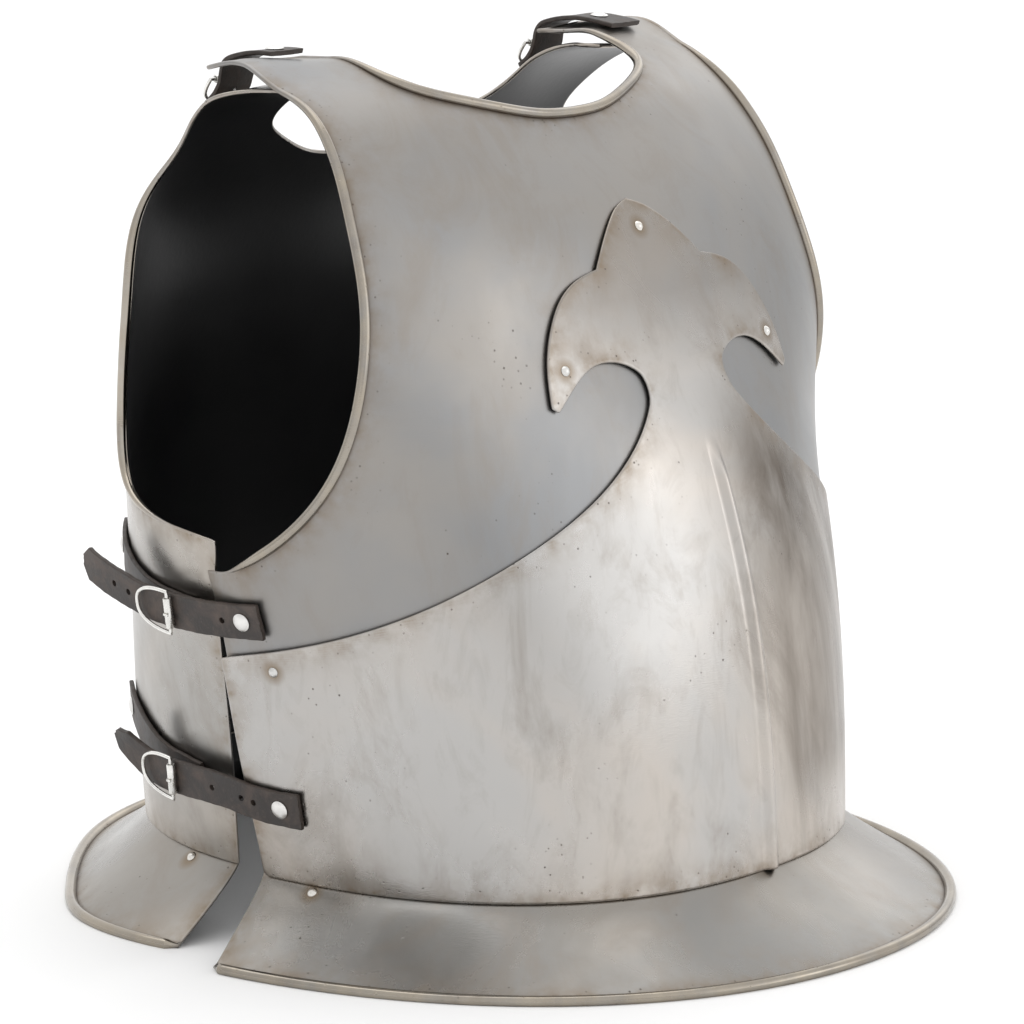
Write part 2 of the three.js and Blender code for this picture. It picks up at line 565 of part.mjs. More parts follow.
// A round wire along points, closed on itself or with flat ends.
function wire(points, radius, closed, sides = 6) {
  const vertices = [];
  const triangles = [];
  const count = points.length;
  const pick = (k) => points[closed ? (k + count) % count : THREE.MathUtils.clamp(k, 0, count - 1)];
  const middle = points.reduce((sum, p) => sum.add(p), new THREE.Vector3()).divideScalar(count);
  const plane = points[1].clone().sub(points[0]).cross(points[count >> 1].clone().sub(points[0])).normalize();
  points.forEach((p, k) => {
    const tangent = pick(k + 1).clone().sub(pick(k - 1)).normalize();
    const side = plane.clone();
    if (!closed) side.addScaledVector(tangent, -plane.dot(tangent)).normalize();
    const other = side.clone().cross(tangent).normalize();
    for (let m = 0; m < sides; m++) {
      const angle = (2 * Math.PI * m) / sides;
      vertices.push(p.clone().addScaledVector(side, radius * Math.cos(angle))
        .addScaledVector(other, -radius * Math.sin(angle)));
    }
  });
  const loops = closed ? count : count - 1;
  for (let k = 0; k < loops; k++) {
    for (let m = 0; m < sides; m++) {
      const a = k * sides + m;
      const b = k * sides + ((m + 1) % sides);
      const c = ((k + 1) % count) * sides + m;
      const d = ((k + 1) % count) * sides + ((m + 1) % sides);
      triangles.push([a, b, d], [a, d, c]);
    }
  }
  if (!closed) {
    const far = (count - 1) * sides;
    for (let m = 1; m + 1 < sides; m++) {
      triangles.push([0, m + 1, m], [far, far + m, far + m + 1]);
    }
  }
  const body = solid(vertices, triangles);
  return volume(body) < 0 ? solid(vertices, triangles.map(([a, b, c]) => [a, c, b])) : body;
}

function volume(geometry) {
  const at = geometry.attributes.position;
  const index = geometry.index.array;
  const corner = (k) => new THREE.Vector3().fromBufferAttribute(at, index[k]);
  let sum = 0;
  for (let k = 0; k < index.length; k += 3) sum += corner(k).dot(corner(k + 1).cross(corner(k + 2)));
  return sum / 6;
}

const toManifold = (geometry) => new wasm.Manifold(new wasm.Mesh({
  numProp: 3,
  vertProperties: geometry.attributes.position.array,
  triVerts: new Uint32Array(geometry.index.array),
}));

// A turned body: its profile of radius and height is spun about the outward direction.
function turned(profile, segments) {
  const vertices = [];
  const triangles = [];
  profile.forEach(([r, h]) => {
    for (let m = 0; m < segments; m++) {
      const angle = (2 * Math.PI * m) / segments;
      vertices.push(new THREE.Vector3(r * Math.cos(angle), r * Math.sin(angle), h));
    }
  });
  return { vertices, triangles };
}

// A rivet head, a low dome with a short upright edge, on its own base.
function rivetHead(radius, height, segments = 8) {
  const rings = [[radius, 0], [radius * 0.94, height * 0.45], [radius * 0.6, height * 0.86]];
  const { vertices, triangles } = turned(rings, segments);
  const foot = vertices.push(new THREE.Vector3(0, 0, 0)) - 1;
  const crown = vertices.push(new THREE.Vector3(0, 0, height)) - 1;
  for (let m = 0; m < segments; m++) {
    const n = (m + 1) % segments;
    triangles.push([foot, n, m]);
    for (let ring = 0; ring + 1 < rings.length; ring++) {
      const a = ring * segments;
      triangles.push([a + m, a + n, a + segments + n], [a + m, a + segments + n, a + segments + m]);
    }
    const last = (rings.length - 1) * segments;
    triangles.push([last + m, last + n, crown]);
  }
  return solid(vertices, triangles);
}

// A plain tube round its own axis.
function sleeve(outer, bore, length, segments = 8) {
  const h = length / 2;
  const { vertices, triangles } = turned([[bore, -h], [outer, -h], [outer, h], [bore, h]], segments);
  for (let ring = 0; ring < 4; ring++) {
    const a = ring * segments;
    const b = ((ring + 1) % 4) * segments;
    for (let m = 0; m < segments; m++) {
      const n = (m + 1) % segments;
      triangles.push([a + m, a + n, b + n], [a + m, b + n, b + m]);
    }
  }
  return solid(vertices, triangles);
}

// Everything is drawn on the +X side; side = -1 mirrors it to the wearer's right.
const object = new THREE.Group();

function add(name, geometry, material, side = 1) {
  let body = geometry;
  if (side < 0) {
    body = geometry.clone().scale(-1, 1, 1);
    const index = body.index.array;
    for (let k = 0; k < index.length; k += 3) [index[k + 1], index[k + 2]] = [index[k + 2], index[k + 1]];
    body.computeVertexNormals();
  }
  const mesh = new THREE.Mesh(body, material);
  mesh.name = name;
  object.add(mesh);
}

// Puts a body made round the z axis onto a surface frame.
function stood(geometry, { at, across, up, normal }) {
  return geometry.applyMatrix4(new THREE.Matrix4().makeBasis(across, up, normal).setPosition(at));
}

function plateRivet(name, spot, side, gap = rivet.gap) {
  spot.at.addScaledVector(spot.normal, gap);
  add(name, stood(rivetHead(rivet.plateRadius, rivet.plateHeight), spot), finish.steel, side);
}

function strapRivet(name, path, distance, side) {
  const { point, out, across, ahead } = path.at(distance / path.total);
  const at = point.clone().addScaledVector(out, leather.thick + rivet.gap);
  const spot = { at, across: ahead, up: across.clone(), normal: out };
  if (ahead.clone().cross(across).dot(out) < 0) spot.up.negate();
  add(name, stood(rivetHead(rivet.strapRadius, rivet.strapHeight), spot), finish.nickel, side);
}

// A roller buckle on the front strap: a D-shaped wire frame with its straight side through the
// roller, and a prong that comes up through the strap behind the roller.
function addBuckle(label, path, strapGeometry, { rollerAt, width, length }, side) {
  const here = path.at(rollerAt / path.total);
  const there = path.at((rollerAt + length) / path.total);
  const clear = leather.thick + buckle.rollerRadius + buckle.lift;
  const origin = here.point.clone().addScaledVector(here.out, clear);
  const ringEnd = there.point.clone().addScaledVector(there.out, clear);
  const ahead = ringEnd.clone().sub(origin).normalize();
  const across = here.out.clone().cross(ahead).normalize();
  const out = ahead.clone().cross(across).normalize();
  const spot = (a, b, c) => origin.clone().addScaledVector(ahead, a).addScaledVector(across, b)
    .addScaledVector(out, c);
  const half = width / 2 + buckle.overhang;
  const bow = [];
  for (let k = 0; k <= 8; k++) {
    const angle = Math.PI * (k / 8 - 0.5);
    bow.push(spot(length * Math.cos(angle), half * Math.sin(angle), 0));
  }
  add(`${label}_frame`, wire(bow, buckle.wire, true), finish.nickel, side);
  const roller = sleeve(buckle.rollerRadius, buckle.rollerBore, width - buckle.rollerShort);
  const rollerFrame = new THREE.Matrix4().makeBasis(ahead, out.clone().negate(), across).setPosition(origin);
  add(`${label}_roller`, roller.applyMatrix4(rollerFrame), finish.nickel, side);

  const reach = length - buckle.prongShort;
  const follow = (distance, rise) => {
    const spot = path.at((rollerAt + distance) / path.total);
    return spot.point.addScaledVector(spot.out, rise);
  };
  const under = -(buckle.prongWire + buckle.prongClear);
  const above = leather.thick + buckle.prongWire + buckle.prongClear;
  const { hole } = buckle;
  const prong = [
    follow(reach, under), follow((reach + hole) / 2, under), follow(hole + 0.6, under),
    follow(hole - 0.2, above), spot(buckle.rollerRadius + buckle.prongWire, 0, buckle.rollerRadius),
  ];
  add(`${label}_prong`, wire(prong, buckle.prongWire, false), finish.nickel, side);
  const through = path.at((rollerAt + hole) / path.total);
  const punchFrame = new THREE.Matrix4().makeBasis(through.ahead, through.across, through.out);
  if (punchFrame.determinant() < 0) punchFrame.makeBasis(through.ahead, through.across.negate(), through.out);
  punchFrame.setPosition(through.point);
  const hollow = punch(buckle.holeRadius, 6 * leather.thick).applyMatrix4(punchFrame);
  const punched = toManifold(strapGeometry).subtract(toManifold(hollow));
  const mesh = punched.getMesh();
  const geometry = new THREE.BufferGeometry();
  geometry.setAttribute('position', new THREE.BufferAttribute(new Float32Array(mesh.vertProperties), 3));
  geometry.setIndex(new THREE.BufferAttribute(new Uint32Array(mesh.triVerts), 1));
  geometry.computeVertexNormals();
  return geometry;
}

// A plain round punch.
function punch(radius, length, segments = 8) {
  const h = length / 2;
  const { vertices, triangles } = turned([[radius, -h], [radius, h]], segments);
  for (let m = 0; m < segments; m++) {
    const n = (m + 1) % segments;
    triangles.push([m, n, segments + n], [m, segments + n, segments + m]);
    if (m > 0 && m < segments - 1) triangles.push([0, m + 1, m], [segments, segments + m, segments + m + 1]);
  }
  return solid(vertices, triangles);
}

// ---- the object -----------------------------------------------------------------------------

add('breastplate', breastplate(), finish.steel);
add('plackart', plackart(), finish.steel);
add('backplate', backplate(), finish.steel);
add('front_skirt', skirt(frontForm, frontSkirt, true), finish.steel);
add('back_skirt', skirt(backForm, backSkirt, false), finish.steel);

const bothSides = [{ label: 'right', side: -1 }, { label: 'left', side: 1 }];

const onPlackart = ({ turn, z }) => frontForm.frame(turn, z, plackartStandoff);
const onSkirt = (form, size, turn) => frameOn((t, z) => skirtPoint(form, size, t, z), turn, seam.rivets);

plateRivet('fleur_rivet', onPlackart(rivetSpots.fleur), 1);
for (const { label, side } of bothSides) {
  plateRivet(`volute_rivet_${label}`, onPlackart(rivetSpots.volute), side);
  plateRivet(`plackart_side_rivet_${label}`, onPlackart(rivetSpots.side), side);
  const frontSpot = onSkirt(frontForm, frontSkirt, rivetSpots.frontSkirt);
  const backSpot = onSkirt(backForm, backSkirt, rivetSpots.backSkirt);
  plateRivet(`front_skirt_rivet_${label}`, frontSpot, side, rivet.skirtGap);
  plateRivet(`back_skirt_rivet_${label}`, backSpot, side, rivet.skirtGap);

  for (const row of sideStraps) {
    const front = route(row.front.map(({ turn, z, off }) => frontForm.frame(turn, z, off)));
    const base = route(row.base.map(({ turn, z, off }) => backForm.frame(turn, z, off)));
    const tongue = strap(front, leather.sideWidth, 16, true);
    const buckleLabel = `${row.name}_buckle_${label}`;
    const size = { rollerAt: row.rollerAt, width: leather.sideWidth, length: row.frameLength };
    const punched = addBuckle(buckleLabel, front, tongue, size, side);
    add(`${row.name}_strap_${label}`, punched, finish.leather, side);
    add(`${row.name}_strap_base_${label}`, strap(base, leather.sideWidth, 8, false), finish.leather, side);
    strapRivet(`${row.name}_strap_rivet_${label}`, front, row.rivetAt, side);
    strapRivet(`${row.name}_base_rivet_${label}`, base, row.baseRivetAt, side);
  }

  const overShoulder = ({ y, z }) => ({
    at: new THREE.Vector3(shoulderStrap.across, y, z),
    normal: new THREE.Vector3(0, y - shoulderStrap.bendY, z - shoulderStrap.bendZ).normalize(),
  });
  const front = route([shoulderStrap.starts[label], ...shoulderStrap.front].map(overShoulder));
  const base = route(shoulderStrap.base.map(overShoulder));
  const tongue = strap(front, leather.shoulderWidth, 16, true);
  const buckleLabel = `shoulder_buckle_${label}`;
  const size = {
    rollerAt: front.total - shoulderStrap.rollerFromEnd,
    width: leather.shoulderWidth,
    length: shoulderStrap.frameLength,
  };
  const punched = addBuckle(buckleLabel, front, tongue, size, side);
  add(`shoulder_strap_${label}`, punched, finish.leather, side);
  add(`shoulder_strap_base_${label}`, strap(base, leather.shoulderWidth, 6, false), finish.leather, side);
  strapRivet(`shoulder_strap_rivet_${label}`, front, shoulderStrap.rivetAt[label], side);
  strapRivet(`shoulder_base_rivet_${label}`, base, shoulderStrap.baseRivetAt, side);
}

// The origin is on the ground, under the middle of the whole object.
const bounds = new THREE.Box3().setFromObject(object);
object.position.y = -(bounds.min.y + bounds.max.y) / 2;

export default object;
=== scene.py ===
import math
import bpy
import numpy as np
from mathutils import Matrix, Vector


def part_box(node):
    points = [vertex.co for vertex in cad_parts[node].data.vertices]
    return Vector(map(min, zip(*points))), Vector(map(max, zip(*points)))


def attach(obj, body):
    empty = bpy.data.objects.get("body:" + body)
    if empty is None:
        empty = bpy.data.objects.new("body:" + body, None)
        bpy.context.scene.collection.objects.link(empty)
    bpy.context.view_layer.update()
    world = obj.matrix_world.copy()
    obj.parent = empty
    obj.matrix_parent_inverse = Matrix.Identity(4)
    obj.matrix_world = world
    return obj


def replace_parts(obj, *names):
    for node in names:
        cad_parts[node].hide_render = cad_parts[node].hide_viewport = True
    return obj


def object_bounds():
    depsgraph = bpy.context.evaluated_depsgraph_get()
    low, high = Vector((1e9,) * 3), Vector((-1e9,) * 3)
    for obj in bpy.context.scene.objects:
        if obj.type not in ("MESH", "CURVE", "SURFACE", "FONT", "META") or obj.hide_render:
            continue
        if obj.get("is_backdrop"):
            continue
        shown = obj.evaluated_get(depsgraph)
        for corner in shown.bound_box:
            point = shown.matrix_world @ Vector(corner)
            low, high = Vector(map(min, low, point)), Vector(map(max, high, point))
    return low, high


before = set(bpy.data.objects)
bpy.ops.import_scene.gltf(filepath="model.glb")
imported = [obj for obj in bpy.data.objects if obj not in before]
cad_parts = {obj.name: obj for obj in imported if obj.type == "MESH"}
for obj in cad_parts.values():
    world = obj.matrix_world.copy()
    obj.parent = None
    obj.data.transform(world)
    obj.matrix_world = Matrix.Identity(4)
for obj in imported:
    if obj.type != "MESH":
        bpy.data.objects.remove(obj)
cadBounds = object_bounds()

# The steel cuirass: breastplate, plackart, backplate, two flared skirts, straps and buckles.
# Shapes are worked out in millimetres round the wearer's axis, +Z up, the wearer facing -Y,
# and every mesh is put down in metres. "turn" is the angle in degrees from the front.
body = dict(middleY=5.469, wall=1.5, plainEdge=0.76, tabEdge=1.15, rolledEdge=2.6, rimBead=2.9)


# The natural cubic spline through (at, values): returns f(x), with x a number or an array.
def naturalSpline(at, values):
    at = np.asarray(at, float)
    values = np.asarray(values, float)
    n = len(at)
    step = np.diff(at)
    system = np.eye(n)
    bend = np.zeros(n)
    inner = np.arange(1, n - 1)
    system[inner, inner - 1] = step[:-1]
    system[inner, inner] = 2 * (step[:-1] + step[1:])
    system[inner, inner + 1] = step[1:]
    bend[inner] = 6 * (np.diff(values)[1:] / step[1:] - np.diff(values)[:-1] / step[:-1])
    curve = np.linalg.solve(system, bend)

    def spline(x):
        x = np.asarray(x, float)
        i = np.clip(np.searchsorted(at, x), 1, n - 1)
        a = (at[i] - x) / step[i - 1]
        b = (x - at[i - 1]) / step[i - 1]
        cubic = (a**3 - a) * curve[i - 1] + (b**3 - b) * curve[i]
        return a * values[i - 1] + b * values[i] + cubic * step[i - 1] ** 2 / 6
    return spline


# A smooth step from 0 at low to 1 at high: 3 t^2 - 2 t^3.
def ease(low, high, x):
    t = np.clip((np.asarray(x, float) - low) / (high - low), 0, 1)
    return t * t * (3 - 2 * t)


# The share t of the way from a to b.
def mix(a, b, t):
    return a + (b - a) * t


# A body form is a stack of superellipses: at height z the outline has half width w, depth d
# and power n, so its radius at a turn is ((|sin|/w)^n + (|cos|/d)^n)^(-1/n).
def bodyForm(sections, top, lean):
    heights = [row["z"] for row in sections]
    squared = lambda name: naturalSpline(heights + [top], [row[name] ** 2 for row in sections] + [0])
    half, front, back = squared("half"), squared("front"), squared("back")
    power = naturalSpline(heights, [row["power"] for row in sections])

    def point(turn, z, off=0.0):
        turn, z, off = np.broadcast_arrays(np.radians(turn), np.asarray(z, float), np.asarray(off, float))
        s, c = np.sin(turn), np.cos(turn)
        side = np.sqrt(np.maximum(half(z), 4)) + off
        depth = np.sqrt(np.maximum(np.where(c > 0, front(z), back(z)), 4)) + off
        n = power(np.minimum(z, heights[-1]))
        radius = ((np.abs(s) / side) ** n + (np.abs(c) / depth) ** n) ** (-1 / n)
        centre = lean["shift"] * ease(lean["start"], lean["end"], z)
        return np.stack([radius * s, centre - radius * c, z], -1)
    return point


frontForm = bodyForm([
    dict(z=40, half=173, front=185.5, back=184, power=2.3),
    dict(z=110, half=188.5, front=180, back=178, power=2.15),
    dict(z=180, half=202, front=168.5, back=168, power=2.0),
    dict(z=250, half=229, front=147, back=155, power=1.85),
    dict(z=310, half=240, front=129, back=134, power=2.2),
    dict(z=360, half=222, front=118, back=118, power=2.5),
    dict(z=400, half=209, front=95, back=97, power=2.75),
    dict(z=425, half=192, front=69, back=72, power=2.75),
    dict(z=438, half=162, front=40, back=44, power=2.75),
], top=448, lean=dict(start=230, end=430, shift=29))
backForm = bodyForm([
    dict(z=40, half=169, front=181, back=181, power=2.2),
    dict(z=110, half=184, front=175, back=175, power=2.2),
    dict(z=180, half=197.5, front=165, back=165, power=2.2),
    dict(z=250, half=213, front=152, back=152, power=2.2),
    dict(z=310, half=219, front=134, back=134, power=2.3),
    dict(z=360, half=213, front=108, back=108, power=2.8),
    dict(z=390, half=212, front=80, back=80, power=3.4),
    dict(z=410, half=214, front=58, back=58, power=4),
    dict(z=425, half=208, front=38, back=38, power=4),
], top=438, lean=dict(start=310, end=410, shift=8))


# The distance along a row of places: the running sum of the steps between them.
def distanceAlong(places):
    return np.concatenate([[0], np.cumsum(np.linalg.norm(np.diff(places, axis=0), axis=1))])


# The smooth edge through rows of (turn, z), by distance along the form: f(t) gives (turn, z).
def edgeOn(form, rows):
    turns, heights = np.array(rows, float).T
    along = distanceAlong(form(turns, heights))
    turnAt, heightAt = naturalSpline(along, turns), naturalSpline(along, heights)
    return lambda t: np.stack([turnAt(t * along[-1]), heightAt(t * along[-1])], -1)


# The place, outward normal, up and across of a surface f(turn, z) at one place: the normal is
# the cross product of its slopes along turn and along z.
def frameOn(surface, turn, z):
    across = surface(turn + 0.5, z) - surface(turn - 0.5, z)
    across = across / np.linalg.norm(across)
    normal = np.cross(across, surface(turn, z + 1) - surface(turn, z - 1))
    normal = normal / np.linalg.norm(normal)
    return surface(turn, z), normal, np.cross(normal, across), across


# Each vector divided by its length.
def unit(v):
    return v / np.maximum(np.linalg.norm(v, axis=-1, keepdims=True), 1e-9)


# Quads of a rows x columns grid of vertex numbers, which may close on itself either way.
def gridQuads(index, closeRows=False, closeColumns=False):
    if closeRows:
        index = np.concatenate([index, index[:1]], 0)
    if closeColumns:
        index = np.concatenate([index, index[:, :1]], 1)
    return np.stack([index[:-1, :-1], index[:-1, 1:], index[1:, 1:], index[1:, :-1]], -1).reshape(-1, 4)


# Each vertex's normal: the sum of the area vectors of the quads round it.
def vertexNormals(points, quads):
    area = np.cross(points[quads[:, 2]] - points[quads[:, 0]], points[quads[:, 3]] - points[quads[:, 1]])
    total = np.zeros_like(points)
    for corner in range(4):
        np.add.at(total, quads[:, corner], area)
    return unit(total)


# Millimetres round the wearer's axis become metres in the frame: (place + middle) / 1000.
def inMetres(points):
    return (np.asarray(points) + [0, body["middleY"], 0]) / 1000


# The two sides of the wearer, with the sign of x on each.
bothSides = (("right", -1), ("left", 1))


# Makes one piece from millimetre vertices. Faces are quads, or lists of different lengths.
def addPiece(name, points, faces, materials, smoothAngle=38, materialOf=None, marks=None):
    mesh = bpy.data.meshes.new(name)
    mesh.from_pydata(inMetres(points).tolist(), [], [list(map(int, face)) for face in faces])
    for material in materials:
        mesh.materials.append(material)
    mesh.polygons.foreach_set("use_smooth", np.ones(len(mesh.polygons), bool))
    if materialOf is not None:
        mesh.polygons.foreach_set("material_index", np.asarray(materialOf, np.int32))
    for markName, values in (marks or {}).items():
        mark = mesh.attributes.new(markName, "FLOAT", "POINT")
        mark.data.foreach_set("value", np.asarray(values, np.float32))
    mesh.update()
    mesh.set_sharp_from_angle(angle=math.radians(smoothAngle))
    piece = bpy.data.objects.new(name, mesh)
    bpy.context.scene.collection.objects.link(piece)
    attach(piece, "root")
    return piece


# The same piece on the other side: x turns to -x, and each face is read backwards.
def mirrored(points, faces):
    return points * [-1, 1, 1], [list(face)[::-1] for face in faces]


# A wire of round section: centre(s) + r (cos a * side + sin a * up), where side lies across the
# wire in the plane with normal "up". The radius may change along it; open ends are domed.
def wire(centres, radius, up, closed=False, sides=14):
    centres = np.asarray(centres, float)
    radius = np.broadcast_to(np.asarray(radius, float), len(centres)).copy()
    if not closed:
        ahead = unit(centres[1] - centres[0])
        behind = unit(centres[-1] - centres[-2])
        angles = np.radians([90, 60, 30])
        first = centres[0] - ahead * np.sin(angles)[:, None] * radius[0]
        last = centres[-1] + behind * np.sin(angles[::-1])[:, None] * radius[-1]
        rFirst, rLast = radius[0] * np.cos(angles), radius[-1] * np.cos(angles[::-1])
        centres = np.concatenate([first, centres, last])
        radius = np.concatenate([np.maximum(rFirst, 0.02), radius, np.maximum(rLast, 0.02)])
        tangent = unit(np.gradient(centres, axis=0))
    else:
        tangent = unit(np.roll(centres, -1, 0) - np.roll(centres, 1, 0))
    up = np.broadcast_to(np.asarray(up, float), centres.shape)
    side = unit(np.cross(tangent, up))
    rise = unit(np.cross(side, tangent))
    angle = np.linspace(0, 2 * np.pi, sides, endpoint=False)
    ring = side[:, None] * np.cos(angle)[None, :, None] + rise[:, None] * np.sin(angle)[None, :, None]
    points = (centres[:, None] + ring * radius[:, None, None]).reshape(-1, 3)
    index = np.arange(len(points)).reshape(len(centres), sides)
    faces = [face[::-1] for face in gridQuads(index, closeRows=closed, closeColumns=True).tolist()]
    if not closed:
        faces += [index[0].tolist(), index[-1, ::-1].tolist()]
    return points, faces


# A turned shape: the profile's (radius, height) spun about the outward axis of a place.
def turnedOn(profile, place, sides=28):
    at, normal, up, across = place
    angle = np.linspace(0, 2 * np.pi, sides, endpoint=False)
    r, h = np.array(profile, float).T
    ring = np.cos(angle)[:, None] * across + np.sin(angle)[:, None] * up
    points = at + r[:, None, None] * ring[None] + h[:, None, None] * normal
    index = np.arange(points[..., 0].size).reshape(len(r), sides)
    faces = gridQuads(index, closeColumns=True).tolist()
    faces += [index[0, ::-1].tolist(), index[-1].tolist()]
    return points.reshape(-1, 3), faces


# A material with the given values on its shader's own sockets.
def newMaterial(name, **values):
    material = bpy.data.materials.new(name)
    material.use_nodes = True
    shader = material.node_tree.nodes["Principled BSDF"]
    for socket, value in values.items():
        shader.inputs[socket.replace("_", " ")].default_value = value
    return material, material.node_tree, shader


# Sets a node's inputs: a socket is linked, and a plain value is written on the input.
def feed(tree, node, inputs):
    for key, value in inputs:
        if isinstance(value, bpy.types.NodeSocket):
            tree.links.new(value, node.inputs[key])
        else:
            node.inputs[key].default_value = value


# A node with its settings and inputs.
def addNode(tree, kind, inputs=None, **settings):
    node = tree.nodes.new(kind)
    for key, value in settings.items():
        setattr(node, key, value)
    feed(tree, node, (inputs or {}).items())
    return node


# Places on the piece, stretched by scale.
def coordsOf(tree, scale=(1, 1, 1)):
    place = addNode(tree, "ShaderNodeTexCoord")
    return addNode(tree, "ShaderNodeMapping", {"Vector": place.outputs["Object"], "Scale": scale}).outputs[0]


# A cloudy pattern from 0 to 1: larger scales make smaller clouds.
def noiseOf(tree, scale, detail, roughness, stretch=(1, 1, 1), distortion=0.0):
    values = {"Vector": coordsOf(tree, stretch), "Scale": scale, "Detail": detail,
              "Roughness": roughness, "Distortion": distortion}
    return addNode(tree, "ShaderNodeTexNoise", values).outputs["Fac"]


# The colour that goes smoothly from the first stop's to the second's as factor passes them.
def ramp(tree, factor, stops):
    node = addNode(tree, "ShaderNodeValToRGB", {"Fac": factor})
    node.color_ramp.interpolation = "EASE"
    for element, (position, colour) in zip(node.color_ramp.elements, stops):
        element.position = position
        element.color = (*colour, 1)
    return node.outputs["Color"]


# The value's place between low and high, carried over to the range from toLow to toHigh.
def spread(tree, value, low, high, toLow=0.0, toHigh=1.0):
    values = {"Value": value, "From Min": low, "From Max": high, "To Min": toLow, "To Max": toHigh}
    return addNode(tree, "ShaderNodeMapRange", values).outputs["Result"]


# The colour a + (b - a) * factor, or a * b in MULTIPLY mode. Sockets 6, 7 and output 2 are colours.
def blendColours(tree, factor, a, b, mode="MIX"):
    node = addNode(tree, "ShaderNodeMix", data_type="RGBA", blend_type=mode)
    solid = lambda colour: (*colour, 1) if isinstance(colour, tuple) else colour
    feed(tree, node, ((0, factor), (6, solid(a)), (7, solid(b))))
    return node.outputs[2]


# One arithmetic step on two numbers or sockets.
def maths(tree, operation, a, b=0.0):
    return addNode(tree, "ShaderNodeMath", {0: a, 1: b}, operation=operation).outputs[0]


def product(tree, a, b):
    return maths(tree, "MULTIPLY", a, b)


# A bump by that height in metres, over the normal of the bump below it.
def bumpOf(tree, height, distance, strength=1.0, below=None):
    inputs = {"Height": height, "Distance": distance, "Strength": strength}
    if below is not None:
        inputs["Normal"] = below
    return addNode(tree, "ShaderNodeBump", inputs).outputs[0]


# The piece's own mark, a number from 0 to 1 at each vertex.
def markOf(tree, name):
    return addNode(tree, "ShaderNodeAttribute", attribute_name=name).outputs["Fac"]


# Steel colours. "cool" and "warm" are the plate's clouds, and the rest are laid over them. Among
# them are painted shade for the crease and round the rivets, and a painted dark reflection beside
# the keel.
steelLook = dict(
    cool=(0.385, 0.375, 0.36), warm=(0.45, 0.415, 0.375), smear=(0.27, 0.24, 0.21),
    pit=(0.06, 0.045, 0.035), edgeStainAndRivetShade=(0.21, 0.155, 0.10), creaseShade=(0.09, 0.065, 0.045),
    bead=(0.39, 0.345, 0.28), keelShadeColour=(0.12, 0.095, 0.072),
    fleurShade=1.0, brightest=0.20, dullest=0.37, wave=0.0011, brush=0.00004)
# On top of the steel's own clouds, the breast and skirt copies are set darker and the plackart copy lighter:
# painted shade and painted light.
breastLook = dict(
    steelLook, cool=(0.272, 0.275, 0.28), warm=(0.318, 0.30, 0.28), brightest=0.31, dullest=0.44)
plackartLook = dict(steelLook, cool=(0.46, 0.45, 0.438), warm=(0.52, 0.475, 0.43), fleurShade=0.62)
skirtLook = dict(steelLook, cool=(0.265, 0.26, 0.25), warm=(0.307, 0.287, 0.261))
rivetLook = dict(steelLook, cool=(0.66, 0.66, 0.65), warm=(0.72, 0.69, 0.64))

# The noises that the steel is made of.
steelNoise = dict(
    clouds=dict(scale=6, detail=4, roughness=0.55, distortion=0.6),
    smears=dict(scale=17, detail=6, roughness=0.68, stretch=(1, 1, 0.4), distortion=1.3),
    wisps=dict(scale=60, detail=5, roughness=0.7, stretch=(1, 1, 0.35), distortion=0.8),
    pitted=dict(scale=24, detail=2, roughness=0.5),
    blotches=dict(scale=55, detail=5, roughness=0.65),
    shadeRuns=dict(scale=26, detail=5, roughness=0.6, stretch=(1, 1, 0.12), distortion=0.5),
    beadWear=dict(scale=45, detail=4, roughness=0.6),
    dull=dict(scale=10, detail=6, roughness=0.65, stretch=(1, 1, 0.7), distortion=0.6),
    wave=dict(scale=6.5, detail=2, roughness=0.45, stretch=(1, 1, 0.55)),
    grain=dict(scale=260, detail=3, roughness=0.6, stretch=(1, 1, 6)),
)
# How a pattern becomes a share: from low to high, carried over to the last two numbers.
steelRange = dict(
    fleur=(0.285, 0.325, 0.0, 1.0), smears=(0.50, 0.70, 0, 0.55), wisps=(0.52, 0.75, 0, 0.30),
    pitted=(0.57, 0.70), pittedEdge=(0.1, 0.6, 0, 0.8), pits=(0.13, 0.05), blotches=(0.38, 0.66, 0.1, 1),
    shadeRuns=(0.36, 0.62, 0.4, 1.0), beadWear=(0.32, 0.7, 0.9, 0.15), dull=(0.35, 0.68))
# The most of each layer that shows, what stain adds to the roughness, and what a bead loses of it.
steelShare = dict(shadeRuns=0.95, stain=0.85, pits=0.85, creaseShade=0.85, stainDull=0.12, beadGloss=0.45)
pitting = dict(cellScale=190, depth=0.0002)
# The painted shade round each rivet fades out from size * core to size * edge, in metres.
rivetShade = dict(size=0.0052, strength=0.75, core=0.55, edge=1.5)


# How close a place is to the nearest of the spots, from 0 far away to 1 at it, for the painted
# shade round the rivets. The spots are on the wearer's left, and x counts as |x|, so both sides get them.
def nearSpots(tree, spots, size):
    split = addNode(tree, "ShaderNodeSeparateXYZ", {"Vector": coordsOf(tree)})
    folded = addNode(tree, "ShaderNodeCombineXYZ", {
        "X": maths(tree, "ABSOLUTE", split.outputs["X"]), "Y": split.outputs["Y"], "Z": split.outputs["Z"]})
    nearest = None
    for spot in spots:
        gap = addNode(tree, "ShaderNodeVectorMath", {0: folded.outputs[0], 1: spot}, operation="DISTANCE")
        gap = gap.outputs["Value"]
        nearest = gap if nearest is None else maths(tree, "MINIMUM", nearest, gap)
    return spread(tree, nearest, size * rivetShade["core"], size * rivetShade["edge"], 1.0, 0.0)
